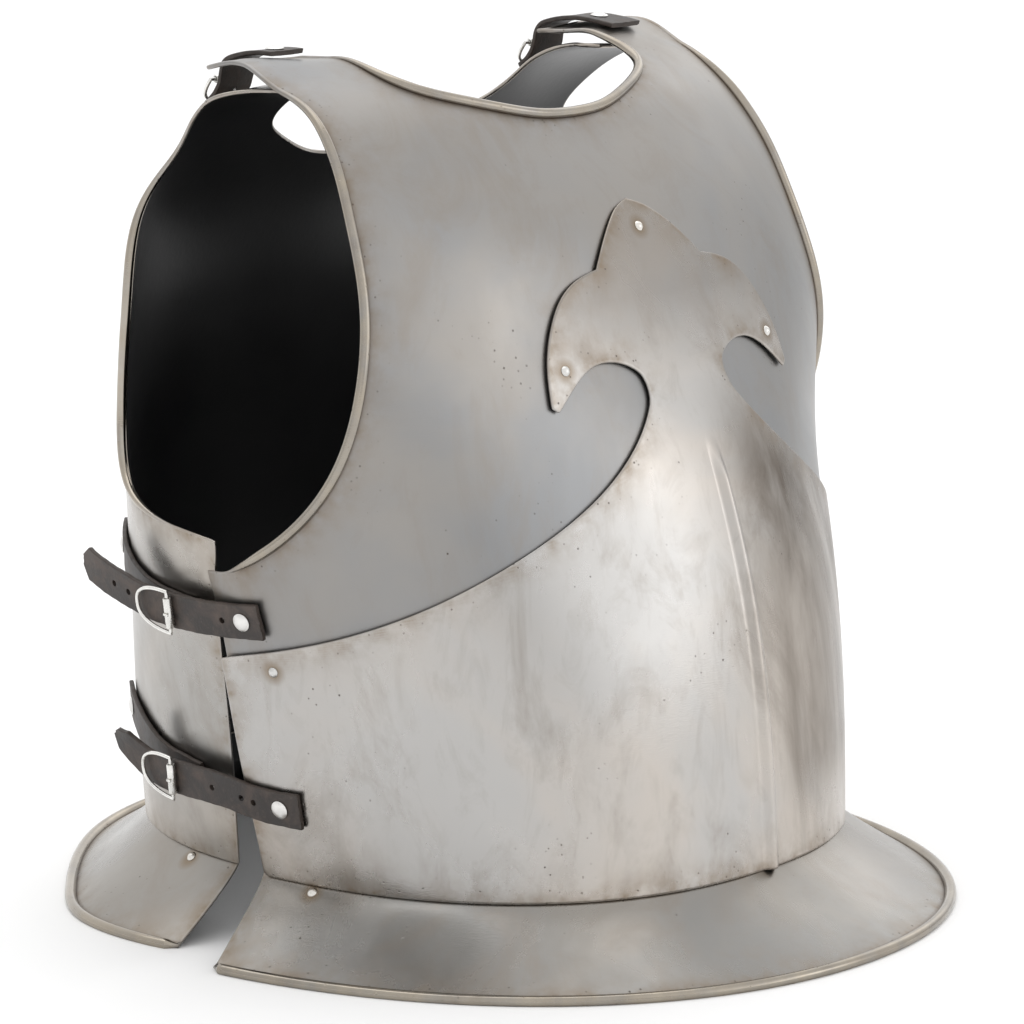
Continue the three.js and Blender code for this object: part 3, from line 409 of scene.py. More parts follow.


# Polished plate: cool and warm clouds, then each layer as colour + (layer - colour) * share, in
# this order: a darker fleur, smears, wisps, a painted dark reflection beside the keel drawn as brown
# runs, brown stain along the edges, painted shade round the rivets, dark pits, the bead along a
# rolled edge, and painted shade in the crease beside it.
def polishedSteel(name, look, waviness=1.0, spots=()):
    material, tree, shader = newMaterial(name, Metallic=1.0)
    noise = lambda part: noiseOf(tree, **steelNoise[part])
    share = lambda value, part: spread(tree, value, *steelRange[part])
    over = lambda amount, part: blendColours(tree, amount, colour, look[part])
    colour = ramp(tree, noise("clouds"), [(0.36, look["cool"]), (0.66, look["warm"])])
    height = addNode(tree, "ShaderNodeSeparateXYZ", {"Vector": coordsOf(tree)}).outputs["Z"]
    shade = (look["fleurShade"],) * 3
    colour = blendColours(tree, share(height, "fleur"), colour, shade, mode="MULTIPLY")
    colour = over(share(noise("smears"), "smears"), "smear")
    colour = over(share(noise("wisps"), "wisps"), "smear")
    # Painted dark reflection beside the keel, drawn as brown runs.
    shadeRuns = product(tree, markOf(tree, "keelShade"), share(noise("shadeRuns"), "shadeRuns"))
    colour = over(product(tree, shadeRuns, steelShare["shadeRuns"]), "keelShadeColour")
    stain = product(tree, markOf(tree, "nearEdge"), share(noise("blotches"), "blotches"))
    colour = over(product(tree, stain, steelShare["stain"]), "edgeStainAndRivetShade")
    # Painted shade: a dark ring round each plate rivet, in the edge stain's colour.
    if spots:
        ring = product(tree, nearSpots(tree, spots, rivetShade["size"]), rivetShade["strength"])
        colour = over(ring, "edgeStainAndRivetShade")
    cells = {"Vector": coordsOf(tree), "Scale": pitting["cellScale"]}
    cells = addNode(tree, "ShaderNodeTexVoronoi", cells).outputs["Distance"]
    pitField = maths(tree, "MAXIMUM", share(noise("pitted"), "pitted"),
                     share(markOf(tree, "nearEdge"), "pittedEdge"))
    pits = product(tree, share(cells, "pits"), pitField)
    colour = over(product(tree, pits, steelShare["pits"]), "pit")
    colour = over(product(tree, markOf(tree, "onBead"), share(noise("beadWear"), "beadWear")), "bead")
    # Painted shade: a dark line in the crease beside a rolled edge.
    colour = over(product(tree, markOf(tree, "creaseShade"), steelShare["creaseShade"]), "creaseShade")
    tree.links.new(colour, shader.inputs["Base Color"])
    roughness = spread(tree, noise("dull"), *steelRange["dull"], look["brightest"], look["dullest"])
    roughness = maths(tree, "ADD", roughness, product(tree, stain, steelShare["stainDull"]))
    gloss = product(tree, markOf(tree, "onBead"), steelShare["beadGloss"])
    roughness = product(tree, roughness, maths(tree, "SUBTRACT", 1.0, gloss))
    tree.links.new(roughness, shader.inputs["Roughness"])
    bump = bumpOf(tree, noise("wave"), look["wave"], waviness)
    fine = bumpOf(tree, noise("grain"), look["brush"], 0.6, bump)
    dent = bumpOf(tree, maths(tree, "SUBTRACT", 1.0, pits), pitting["depth"], below=fine)
    tree.links.new(dent, shader.inputs["Normal"])
    return material


paintLook = dict(
    colour=(0.006, 0.006, 0.0065), paler=1.5, roughness=0.28, roughnessGain=0.12,
    patches=dict(scale=14, detail=3, roughness=0.5), peel=dict(scale=320, detail=2, roughness=0.5),
    peelDepth=0.00006)


# Black paint inside the plates: colour + (paler - colour) * patches, with a slight orange peel.
def insidePaint(name, look):
    material, tree, shader = newMaterial(name, Metallic=0.0)
    patches = noiseOf(tree, **look["patches"])
    tint = blendColours(tree, patches, look["colour"], tuple(c * look["paler"] for c in look["colour"]))
    tree.links.new(tint, shader.inputs["Base Color"])
    low = look["roughness"]
    roughness = spread(tree, patches, 0.3, 0.7, low, low + look["roughnessGain"])
    tree.links.new(roughness, shader.inputs["Roughness"])
    peel = bumpOf(tree, noiseOf(tree, **look["peel"]), look["peelDepth"])
    tree.links.new(peel, shader.inputs["Normal"])
    return material


leatherLook = dict(
    dark=(0.022, 0.017, 0.015), worn=(0.075, 0.055, 0.045), edge=(0.035, 0.024, 0.018),
    scuff=(0.13, 0.10, 0.085), edgeShare=0.6, scuffRange=(0.58, 0.72, 0, 0.35), roughness=(0.42, 0.62),
    patches=dict(scale=70, detail=5, roughness=0.65, distortion=0.5),
    scuffs=dict(scale=420, detail=4, roughness=0.7), creases=dict(scale=160, detail=4, roughness=0.6),
    creaseDepth=0.0005, grainScale=900, grainDepth=0.00012)


# Strap leather: dark brown that goes to a worn brown by patches, darker on the cut edges, with
# scuffs laid over, a fine pebble grain and small creases.
def strapLeather(name, look):
    material, tree, shader = newMaterial(name, Metallic=0.0)
    patches = noiseOf(tree, **look["patches"])
    colour = ramp(tree, patches, [(0.38, look["dark"]), (0.72, look["worn"])])
    cut = product(tree, markOf(tree, "cutEdge"), look["edgeShare"])
    colour = blendColours(tree, cut, colour, look["edge"])
    scuffs = spread(tree, noiseOf(tree, **look["scuffs"]), *look["scuffRange"])
    colour = blendColours(tree, scuffs, colour, look["scuff"])
    tree.links.new(colour, shader.inputs["Base Color"])
    roughness = spread(tree, patches, 0.3, 0.7, *look["roughness"])
    tree.links.new(roughness, shader.inputs["Roughness"])
    cells = {"Vector": coordsOf(tree), "Scale": look["grainScale"]}
    cells = addNode(tree, "ShaderNodeTexVoronoi", cells).outputs["Distance"]
    grain = bumpOf(tree, cells, look["grainDepth"], 0.5)
    creases = bumpOf(tree, noiseOf(tree, **look["creases"]), look["creaseDepth"], 0.6, grain)
    tree.links.new(creases, shader.inputs["Normal"])
    return material


nickelLook = dict(
    worn=0.72, wornRange=(0.4, 0.7, 0, 0.5), wear=dict(scale=180, detail=4, roughness=0.6),
    scratches=dict(scale=700, detail=3, roughness=0.5), scratchDepth=0.00005)


# Nickel plate on the buckles and strap rivets: bright, going to a worn grey, with small scratches.
def nickelPlate(name, colour, low, high):
    material, tree, shader = newMaterial(name, Metallic=1.0)
    wear = noiseOf(tree, **nickelLook["wear"])
    worn = tuple(c * nickelLook["worn"] for c in colour)
    tint = blendColours(tree, spread(tree, wear, *nickelLook["wornRange"]), colour, worn)
    tree.links.new(tint, shader.inputs["Base Color"])
    tree.links.new(spread(tree, wear, 0.35, 0.65, low, high), shader.inputs["Roughness"])
    scratches = bumpOf(tree, noiseOf(tree, **nickelLook["scratches"]), nickelLook["scratchDepth"])
    tree.links.new(scratches, shader.inputs["Normal"])
    return material


# The middles of the plate rivets on the wearer's left.
def rivetPlaces():
    names = ("fleur_rivet", "volute_rivet_left", "plackart_side_rivet_left", "front_skirt_rivet_left",
             "back_skirt_rivet_left")
    return [tuple(np.array(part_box(name)).sum(0) / 2) for name in names]


# The plate, plackart and skirt steels get painted shade round their rivets.
steel = polishedSteel("plate steel", steelLook, spots=rivetPlaces())
breastSteel = polishedSteel("breast steel", breastLook)
plackartSteel = polishedSteel("plackart steel", plackartLook, spots=rivetPlaces())
skirtSteel = polishedSteel("skirt steel", skirtLook, spots=rivetPlaces())
rivetSteel = polishedSteel("rivet steel", rivetLook, waviness=0.2)
paint = insidePaint("black inside paint", paintLook)
leather = strapLeather("strap leather", leatherLook)
nickel = nickelPlate("buckle nickel", (0.80, 0.79, 0.76), 0.14, 0.30)
strapRivetMetal = nickelPlate("strap rivet nickel", (0.78, 0.77, 0.75), 0.26, 0.42)
print("materials made")


# How far wear and the painted crease shade reach in from an edge, in mm, and which beads count as rolled.
edgeWearAndShade = dict(edgeReach=7.0, creaseReach=0.9, rolledFrom=1.5, beadFrom=0.9, beadFull=2.2, rimStain=0.5)


# Doubles a sheet in x = 0 and gives it its wall and the bead along its border. The bead is a
# circle of radius r that starts at the border, curls outwards and comes back to the inner face:
# place = border + beyond * r (1 + cos a) + normal * (r (1 + sin a) - wall).
def plateFrom(name, points, quads, border, beads, materials, outwards=True, steps=12, floor=None,
              keelShade=None):
    count = len(points)
    onAxis = np.abs(points[:, 0]) < 1e-6
    twin = np.where(onAxis, np.arange(count), count + np.cumsum(~onAxis) - 1)
    skin = np.concatenate([points, points[~onAxis] * [-1, 1, 1]])
    right = quads if outwards else quads[:, ::-1]
    left = twin[right][:, ::-1]
    faces = np.concatenate([right, left])
    normal = vertexNormals(skin, faces)
    inner = skin - normal * body["wall"]
    loop = np.concatenate([border, twin[border[1:-1]][::-1]])
    bead = np.concatenate([beads, beads[1:-1][::-1]])[:, None, None]
    edge = skin[loop]
    tangent = unit(unit(np.roll(edge, -1, 0) - edge) + unit(edge - np.roll(edge, 1, 0)))
    beyond = unit(np.cross(tangent, normal[loop])) * (1 if outwards else -1)
    start = np.pi + np.arcsin(np.clip((bead - body["wall"]) / bead, -1, 1))
    share = (np.arange(1, steps + 1) / steps)[None, :, None]
    angle = start - (start + np.pi / 2) * share
    curl = edge[:, None] + beyond[:, None] * bead * (1 + np.cos(angle))
    curl = curl + normal[loop][:, None] * (bead * (1 + np.sin(angle)) - body["wall"])
    total = len(skin)
    rings = np.concatenate([loop[:, None], 2 * total + np.arange(len(loop) * steps).reshape(-1, steps),
                            total + loop[:, None]], 1)
    rim = gridQuads(rings, closeRows=True)
    rim = rim if outwards else rim[:, ::-1]
    vertices = np.concatenate([skin, inner, curl.reshape(-1, 3)])
    if floor is not None:
        vertices[:, 2] = np.maximum(vertices[:, 2], floor)
    allFaces = np.concatenate([faces, (faces + total)[:, ::-1], rim])
    innerSide = np.zeros(len(allFaces), int)
    innerSide[len(faces):2 * len(faces)] = 1
    innerSide[2 * len(faces):][np.tile(np.arange(steps + 1) == steps, len(loop))] = 1
    near = nearness(skin, edge, edgeWearAndShade["edgeReach"])
    rolled = edge[np.maximum(bead[:, 0, 0], np.roll(bead[:, 0, 0], 1)) > edgeWearAndShade["rolledFrom"]]
    # Where the painted crease shade goes: close to the rolled edges.
    creaseShade = nearness(skin, rolled, edgeWearAndShade["creaseReach"]) if len(rolled) else np.zeros(len(skin))
    onBead = np.repeat(ease(edgeWearAndShade["beadFrom"], edgeWearAndShade["beadFull"], bead[:, 0, 0]), steps)
    bare = np.zeros(len(onBead))
    return addPiece(name, vertices, allFaces.tolist(), materials, materialOf=innerSide, marks={
        "nearEdge": np.concatenate([near, near, bare + edgeWearAndShade["rimStain"]]),
        "creaseShade": np.concatenate([creaseShade, 0 * creaseShade, bare]),
        "onBead": np.concatenate([0 * near, 0 * near, onBead]),
        # The painted dark reflection beside the keel, on plates that ask for it.
        "keelShade": np.zeros(len(vertices)) if keelShade is None else keelShade(vertices),
    })


# How near each point is to the line of points: exp(-(distance / reach)). The line is thinned to
# about linePoints, and the points are taken a batch at a time to save memory.
def nearness(points, line, reach, linePoints=260, batch=4000):
    line = line[::max(1, len(line) // linePoints)]
    best = np.zeros(len(points))
    for part in np.array_split(np.arange(len(points)), max(1, len(points) // batch)):
        gap = points[part][:, None] - line[None]
        best[part] = np.sqrt((gap**2).sum(-1).min(1))
    return np.exp(-best / reach)


# Steps from 0 to 1 in stretches that end at the marks.
def stretches(marks, counts):
    parts = [np.linspace(a, b, n, endpoint=False) for a, b, n in zip(marks[:-1], marks[1:], counts)]
    return np.concatenate(parts + [[marks[-1]]])


# Steps from 0 to 1 that crowd towards both ends: u blended with (1 - cos(pi u)) / 2.
def crowded(count, strength=0.85):
    u = np.linspace(0, 1, count)
    return mix(u, (1 - np.cos(np.pi * u)) / 2, strength)


# The rows of a plate run from its bottom to its shoulder: inner(v) on the mid-line and then the
# neck, outer(v) on the side and then the armhole, and each row is inner + (outer - inner) * u. The
# mid-line's height share is cornerLevel at the corner and then grows as its share ^ rise.
def plateRows(form, edges, corner, pit, counts, columns, neckTurn):
    side, arm, neck = (edgeOn(form, edges[part]) for part in ("side", "arm", "neck"))
    v = stretches([0, *sorted((corner, pit)), 1], counts)
    u = crowded(columns + 1)
    foot = np.array([neckTurn, edges["side"][0][1]], float)
    chest = np.array(edges["neck"][0], float)
    level = edges.get("cornerLevel", corner / pit)
    above = np.clip((v - corner) / (pit - corner), 0, 1) ** edges.get("rise", 1)
    low = (level * np.clip(v / corner, 0, 1) + (1 - level) * above)[:, None]
    inner = np.where((v <= pit)[:, None], mix(foot, chest, low), neck(np.clip((v - pit) / (1 - pit), 0, 1)))
    outer = np.where((v <= corner)[:, None], side(np.clip(v / corner, 0, 1)),
                     arm(np.clip((v - corner) / (1 - corner), 0, 1)))
    grid = mix(inner[:, None], outer[:, None], u[None, :, None])
    return v, grid[..., 0], grid[..., 1]


# Walks the border of a rows x columns grid: bottom, outer side, top, and down the neck.
def plateBorder(rows, columns, pitRow):
    index = np.arange(rows * columns).reshape(rows, columns)
    return np.concatenate([index[0], index[1:, -1], index[-1, -2:0:-1], index[:pitRow - 1:-1, 0]])


breast = dict(
    inset=1.0, corner=0.2, pit=0.66, counts=(26, 84, 78), columns=84,
    side=[(91.6, 120), (92.2, 160), (92.6, 193)],
    arm=[(92.6, 193), (84, 205), (75.5, 228), (69, 262), (65.4, 296), (63.6, 335), (64.4, 372), (67, 402),
         (73, 424.5), (79.9, 433.9), (86.8, 437.9), (96.8, 437.6)],
    armBead=dict(thinFrom=0.78, thinTo=0.92, startFrom=0.2, startTo=0.3),
    neckBead=dict(thinFrom=0.86, thinTo=0.97),
    neck=[(0, 410), (15, 411), (33, 416.2), (46, 421.6), (57.7, 428), (69.6, 436.9), (76, 441.2), (83, 444),
          (90, 444.8), (97, 444.4)],
)
tab = dict(inside=95, outside=160, arch=6.6, archFrom=-6, archTo=24, tail=3, tailFrom=28, tailTo=52,
           dip=2.8, dipFrom=5, dipTo=30)


# How far the shoulder tab lies above the front form: an arch outside, a dip along the neck.
def tabLift(points):
    x, y = np.abs(points[..., 0]), points[..., 1]
    outer = tab["arch"] * ease(tab["archFrom"], tab["archTo"], y)
    outer = outer - tab["tail"] * ease(tab["tailFrom"], tab["tailTo"], y)
    inner = -tab["dip"] * ease(tab["dipFrom"], tab["dipTo"], y)
    return mix(inner, outer, ease(tab["inside"], tab["outside"], x))


# The bead's radius along a rolled edge: it thins as v passes thinFrom to thinTo, and where a
# start is given it grows from nothing there.
def beadAlong(v, spots):
    thinned = mix(body["rolledEdge"], body["tabEdge"], ease(spots["thinFrom"], spots["thinTo"], v))
    return thinned * ease(spots["startFrom"], spots["startTo"], v) if "startFrom" in spots else thinned


# The breastplate: the front form, drawn in by the inset, plus the tabs' lift.
def makeBreastplate():
    corner, pit = breast["corner"], breast["pit"]
    v, turn, z = plateRows(frontForm, breast, corner, pit, breast["counts"], breast["columns"], 0)
    grid = frontForm(turn, z, -breast["inset"])
    grid[..., 2] += tabLift(grid)
    rows, columns = turn.shape
    pitRow = sum(breast["counts"][:2])
    border = plateBorder(rows, columns, pitRow)
    arm = beadAlong(v, breast["armBead"])
    neck = beadAlong(v, breast["neckBead"])
    beads = np.concatenate([
        np.full(columns, body["plainEdge"]), np.maximum(body["plainEdge"], arm[1:]),
        np.full(columns - 2, body["tabEdge"]), neck[:pitRow - 1:-1]])
    index = np.arange(rows * columns).reshape(rows, columns)
    piece = plateFrom("breastplate_sheet", grid.reshape(-1, 3), gridQuads(index), border, beads,
                      [breastSteel, paint])
    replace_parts(piece, "breastplate")


back = dict(
    corner=0.34, nape=0.6, counts=(54, 48, 84), columns=76, cornerLevel=0.517, rise=1.5,
    armBead=dict(thinFrom=0.72, thinTo=0.86, startFrom=0.33, startTo=0.54),
    side=[(99.3, 38), (96.4, 88), (94.8, 138), (94, 172), (91.9, 211.8)],
    arm=[(91.9, 211.8), (97.8, 214.3), (104, 216.6), (109.5, 220.5), (114.5, 228), (119.3, 254),
         (118.3, 290), (116.2, 330), (115.2, 369), (113.3, 394), (109, 408.5), (103, 422.3), (97, 430),
         (91.1, 431.8), (88.1, 432)],
    neck=[(180, 380.5), (160, 383.5), (142.7, 391.8), (132, 399), (125, 405.5), (118.4, 415), (111, 426),
          (101.7, 433.5), (93.8, 435.6), (87, 435.6)],
)


# The backplate: the back form itself, with its mid-line held on x = 0.
def makeBackplate():
    corner, nape = back["corner"], back["nape"]
    v, turn, z = plateRows(backForm, back, corner, nape, back["counts"], back["columns"], 180)
    grid = backForm(turn, z)
    napeRow = sum(back["counts"][:2])
    grid[:napeRow + 1, 0, 0] = 0
    rows, columns = turn.shape
    border = plateBorder(rows, columns, napeRow)
    arm = beadAlong(v, back["armBead"])
    beads = np.concatenate([
        np.full(columns, body["plainEdge"]), np.maximum(body["plainEdge"], arm[1:]),
        np.full(columns - 2, body["tabEdge"]), np.full(rows - napeRow, body["tabEdge"])])
    index = np.arange(rows * columns).reshape(rows, columns)
    piece = plateFrom("backplate_sheet", grid.reshape(-1, 3), gridQuads(index), border, beads,
                      [steel, paint], outwards=False)
    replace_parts(piece, "backplate")


plackart = dict(
    standoff=1.8, corner=0.4, bodyRows=(60, 76), bodyColumns=96, fleurRows=42, wingColumns=64,
    share=0.36, notch=0.52, crowding=1.6,
    side=[(90.2, 37.5), (91, 87), (92.4, 151)],
    sweep=[(92.4, 151), (75, 165), (60.3, 182.8), (45.4, 206.5), (30.5, 232.5), (21.5, 251.5), (14.6, 270),
           (12.9, 277.5), (12.8, 284)],
    volute=[(12.8, 284), (13.5, 288.8), (15.6, 293.1), (20.5, 297.4), (26.5, 297), (31.8, 289.5),
            (36.3, 278)],
    tip=[(0, 370), (4.5, 367), (9.5, 360.5), (14.8, 350), (18.8, 339.5)],
    wing=[(18.8, 339.5), (24.8, 336.3), (29.8, 329.9), (33.9, 317), (36.6, 298), (37.1, 279.5)],
)
keel = dict(height=3.6, halfWidth=6.5, bodyRadius=175, fadeFrom=232, fadeTo=256)


# The keel's height over the plackart: a raised cosine across, fading out towards the stem.
def keelHeight(turn, z):
    across = np.minimum(np.abs(np.radians(turn)) * keel["bodyRadius"] / keel["halfWidth"], 1)
    fade = 1 - ease(keel["fadeFrom"], keel["fadeTo"], z)
    return keel["height"] * (1 + np.cos(np.pi * across)) / 2 * fade


# Painted dark reflection on the wearer's left of the keel, drawn as brown runs, "middle" degrees round, and
# between two heights.
keelShadeMarks = dict(middle=-28, reach=31, core=0.35, foot=45, footFull=90, crownFull=220, crown=300)


# How much painted dark reflection each place gets: 1 near the middle of the runs, 0 beyond their reach and
# heights.
def keelShadeAt(points):
    turn = np.degrees(np.arctan2(-points[:, 0], -points[:, 1]))
    across = 1 - ease(keelShadeMarks["core"], 1, np.abs(turn - keelShadeMarks["middle"]) / keelShadeMarks["reach"])
    rising = ease(keelShadeMarks["foot"], keelShadeMarks["footFull"], points[:, 2])
    return across * rising * (1 - ease(keelShadeMarks["crownFull"], keelShadeMarks["crown"], points[:, 2]))


# The plackart is two grids joined along the stem: the body, from the mid-line to the side and
# sweep, and the fleur, from the stem and volute up to the tip and wing, each a straight blend of
# its two edges. Both stand off the front form by the standoff plus the keel's height.
def makePlackart():
    side, sweep, volute, tip, wing = (
        edgeOn(frontForm, plackart[part]) for part in ("side", "sweep", "volute", "tip", "wing"))
    corner, share, notch = plackart["corner"], plackart["share"], plackart["notch"]
    off = lambda turn, z: plackart["standoff"] + keelHeight(turn, z)
    place = lambda at: frontForm(at[..., 0], at[..., 1], off(at[..., 0], at[..., 1]))
    v = stretches([0, corner, 1], plackart["bodyRows"])
    u = np.linspace(0, 1, plackart["bodyColumns"] + 1) ** plackart["crowding"]
    stem = np.array(plackart["sweep"][-1], float)
    foot = np.array([0, plackart["side"][0][1]], float)
    middle = mix(foot, np.array([0, stem[1]]), v[:, None])
    outer = np.where((v <= corner)[:, None], side(np.clip(v / corner, 0, 1)),
                     sweep(np.clip((v - corner) / (1 - corner), 0, 1)))
    lowGrid = mix(middle[:, None], outer[:, None], u[None, :, None])
    t = np.linspace(0, 1, plackart["wingColumns"] + 1)
    upper = lambda s: np.where((s <= notch)[..., None], tip(np.clip(s / notch, 0, 1)),
                               wing(np.clip((s - notch) / (1 - notch), 0, 1)))
    under = np.concatenate([mix(np.array([0, stem[1]]), stem, u[:, None]), volute(t[1:])])
    over = np.concatenate([upper(u * share), upper(mix(share, 1, t[1:]))])
    rise = np.linspace(0, 1, plackart["fleurRows"] + 1)[:, None, None]
    fleurGrid = mix(under[None], over[None], rise)
    lowShape = lowGrid.shape[:2]
    joined = lowShape[1]
    lowIndex = np.arange(lowShape[0] * joined).reshape(lowShape)
    fleurIndex = np.zeros(fleurGrid.shape[:2], int)
    fleurIndex[0, :joined] = lowIndex[-1]
    fresh = np.ones(fleurIndex.shape, bool)
    fresh[0, :joined] = False
    fleurIndex[fresh] = lowIndex.size + np.arange(fresh.sum())
    points = np.concatenate([place(lowGrid).reshape(-1, 3), place(fleurGrid)[fresh]])
    onMiddle = np.concatenate([lowIndex[:, 0], fleurIndex[:, 0]])
    points[onMiddle, 0] = 0
    quads = np.concatenate([gridQuads(lowIndex), gridQuads(fleurIndex)])
    border = np.concatenate([lowIndex[0], lowIndex[1:, -1], fleurIndex[0, joined:], fleurIndex[1:, -1],
                             fleurIndex[-1, -2::-1]])
    # The plackart carries the painted dark reflection beside its keel.
    piece = plateFrom("plackart_sheet", points, quads, border, np.full(len(border), body["plainEdge"]),
                      [plackartSteel, paint], steps=6, keelShade=keelShadeAt)
    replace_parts(piece, "plackart")


seam = dict(collarTop=51, height=37, creaseHeight=2.3)
skirtMesh = dict(flareRows=36, collarRows=8, columns=150, beadSteps=14, beadThinFrom=0.985)
frontSkirt = dict(
    inset=0.4, waistTurn=91.2, rimTurn=87.6,
    rim=[(0, 249), (15, 248.3), (30, 244.4), (45, 237.6), (60, 230), (75, 224.5), (90, 222.5)])
backSkirt = dict(
    inset=2.1, waistTurn=100.3, rimTurn=99.2,
    rim=[(96, 205.5), (108, 216.3), (120, 222.1), (132, 218.4), (148, 219.4), (164, 228.6), (180, 238.1)])
flare = 1.2


# A skirt's place at a turn and height: the radius grows from the waist's to the rim's as
# waist + (rim - waist) * s^flare, with s the share of the way down from the seam. The rim's
# radius is a smooth curve through its (turn, radius) rows.
def skirtPoint(form, size, turn, z):
    down = downFrom(z)
    waist = form(turn, np.maximum(z, seam["height"]), -size["inset"])
    s, c = np.sin(np.radians(turn)), np.cos(np.radians(turn))
    rim = naturalSpline(*np.array(size["rim"], float).T)(turn)
    radius = mix(np.hypot(waist[..., 0], waist[..., 1]), rim, down**flare)
    return np.stack([radius * s, -radius * c, np.broadcast_to(z, radius.shape)], -1)


# The share of the way down from the seam to the rim.
def downFrom(z):
    return np.clip((seam["height"] - z) / (seam["height"] - seam["creaseHeight"]), 0, 1)


# A skirt with its collar: rows of skirtPoint from the rim to the collar's top, from the middle
# round to a side edge that goes from waistTurn to rimTurn on the way down.
def makeSkirt(name, form, size, front, node):
    z = np.concatenate([np.linspace(seam["creaseHeight"], seam["height"], skirtMesh["flareRows"]),
                        np.linspace(seam["height"], seam["collarTop"], skirtMesh["collarRows"])[1:]])
    z = z[:, None]
    u = np.linspace(0, 1, skirtMesh["columns"])[None]
    down = downFrom(z)
    limit = mix(size["waistTurn"], size["rimTurn"], down)
    turn = limit * u if front else mix(180, limit, u)
    grid = skirtPoint(form, size, turn, np.broadcast_to(z, turn.shape))
    grid[:, 0, 0] = 0
    rows, columns = turn.shape
    index = np.arange(rows * columns).reshape(rows, columns)
    border = np.concatenate([index[0], index[1:, -1], index[-1, -2::-1]])
    rimBead = mix(body["rimBead"], body["tabEdge"], ease(skirtMesh["beadThinFrom"], 1, u[0]))
    beads = np.concatenate([rimBead, np.full(rows - 1 + columns - 1, body["plainEdge"])])
    piece = plateFrom(name, grid.reshape(-1, 3), gridQuads(index), border, beads, [skirtSteel, paint],
                      outwards=front, steps=skirtMesh["beadSteps"], floor=0.0)
    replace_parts(piece, node)


makeBreastplate()
makeBackplate()
makePlackart()
makeSkirt("front_skirt_sheet", frontForm, frontSkirt, True, "front_skirt")
makeSkirt("back_skirt_sheet", backForm, backSkirt, False, "back_skirt")
print("plates made")


plateRivet = dict(radius=2.7, height=1.5, foot=0.1)
strapRivet = dict(radius=4.8, height=1.4, foot=0.05, gap=0.3)
dome = dict(power=2.4, lip=0.25, footShare=0.98, rings=9, tipRadius=0.03)


# A hammered dome: height * (1 - (r / radius)^power) + lip, with a short upright edge below it.
def domeProfile(radius, height, foot):
    r = radius * np.sin(np.linspace(0, np.pi / 2, dome["rings"]))[::-1]
    h = height * (1 - (r / radius) ** dome["power"]) + dome["lip"]
    start = [(radius * dome["footShare"], -foot), (radius, 0.0)]
    return start + list(zip(np.maximum(r, dome["tipRadius"]), h))


# A rivet's head: its dome turned about the outward axis of its place.
def addRivet(name, node, place, side, size, material):
    points, faces = turnedOn(domeProfile(size["radius"], size["height"], size["foot"]), place)
    if side < 0:
        points, faces = mirrored(points, faces)
    marks = {"nearEdge": np.zeros(len(points))}
    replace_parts(addPiece(name, points, faces, [material], marks=marks), node)


# Each rivet's surface, and its turn and height on it.
rivetSpots = dict(
    volute_rivet=("plackart", 33.5, 295.5), plackart_side_rivet=("plackart", 83.0, 149.0),
    front_skirt_rivet=("frontSkirt", 80.2, 33.2), back_skirt_rivet=("backSkirt", 111.5, 33.2))
fleurRivetHeight = 357.5


# One rivet in the middle of the fleur, and the others in pairs.
def makePlateRivets():
    surfaces = dict(
        plackart=lambda turn, z: frontForm(turn, z, plackart["standoff"]),
        frontSkirt=lambda turn, z: skirtPoint(frontForm, frontSkirt, turn, np.asarray(z, float)),
        backSkirt=lambda turn, z: skirtPoint(backForm, backSkirt, turn, np.asarray(z, float)))
    fleur = frameOn(surfaces["plackart"], 0.0, fleurRivetHeight)
    addRivet("fleur_rivet_head", "fleur_rivet", fleur, 1, plateRivet, rivetSteel)
    for name, (surface, turn, z) in rivetSpots.items():
        for label, side in bothSides:
            place = frameOn(surfaces[surface], turn, z)
            addRivet(f"{name}_head_{label}", f"{name}_{label}", place, side, plateRivet, rivetSteel)


makePlateRivets()
print("plate rivets made")


strapSize = dict(sideWidth=19.0, shoulderWidth=25.0, thick=2.4, round=0.7, step=0.8, cup=0.25)
# The cut ends' raggedness: each wave is (size, waves per mm across, waves per mm through).
ragged = dict(size=0.5, reach=1.2, waves=[(0.45, 0.9, 0), (0.35, 2.3, 1.7), (0.25, 5.1, 4)],
              wobbles=[(0.012, 0.35), (0.008, 0.9)])
buckle = dict(
    wire=1.0, squareness=2.5, overhang=2.0, rollerRadius=2.2, rollerBore=1.3, rollerShort=2.6,
    rollerRound=0.3, rollerStep=0.4, rollerSides=24, lift=0.35, hole=4.8, holeRadius=1.7, punchHalf=7.0)
prong = dict(radius=0.85, tipShare=0.75, below=0.4, above=0.35, short=3.2, nearHole=0.9, overRoller=0.2,
             seat=0.9, lip=2.2, lipDrop=0.2, steps=40)


# A strap's route through places, with the body's outward normal at each: f(distance) gives the
# place, the way along, the way across and the way out.
class StrapRoute:
    def __init__(self, spots, normals):
        spots, normals = np.array(spots, float), np.array(normals, float)
        along = distanceAlong(spots)
        self.length = along[-1]
        self.place = [naturalSpline(along, spots[:, k]) for k in range(3)]
        self.normal = [naturalSpline(along, normals[:, k]) for k in range(3)]

    def at(self, distance):
        distance = np.asarray(distance, float)
        point = lambda d: np.stack([axis(d) for axis in self.place], -1)
        step = 0.01 * self.length
        ahead = unit(point(np.minimum(distance + step, self.length)) - point(np.maximum(distance - step, 0)))
        normal = np.stack([axis(distance) for axis in self.normal], -1)
        across = unit(np.cross(normal, ahead))
        return point(distance), ahead, across, unit(np.cross(ahead, across))


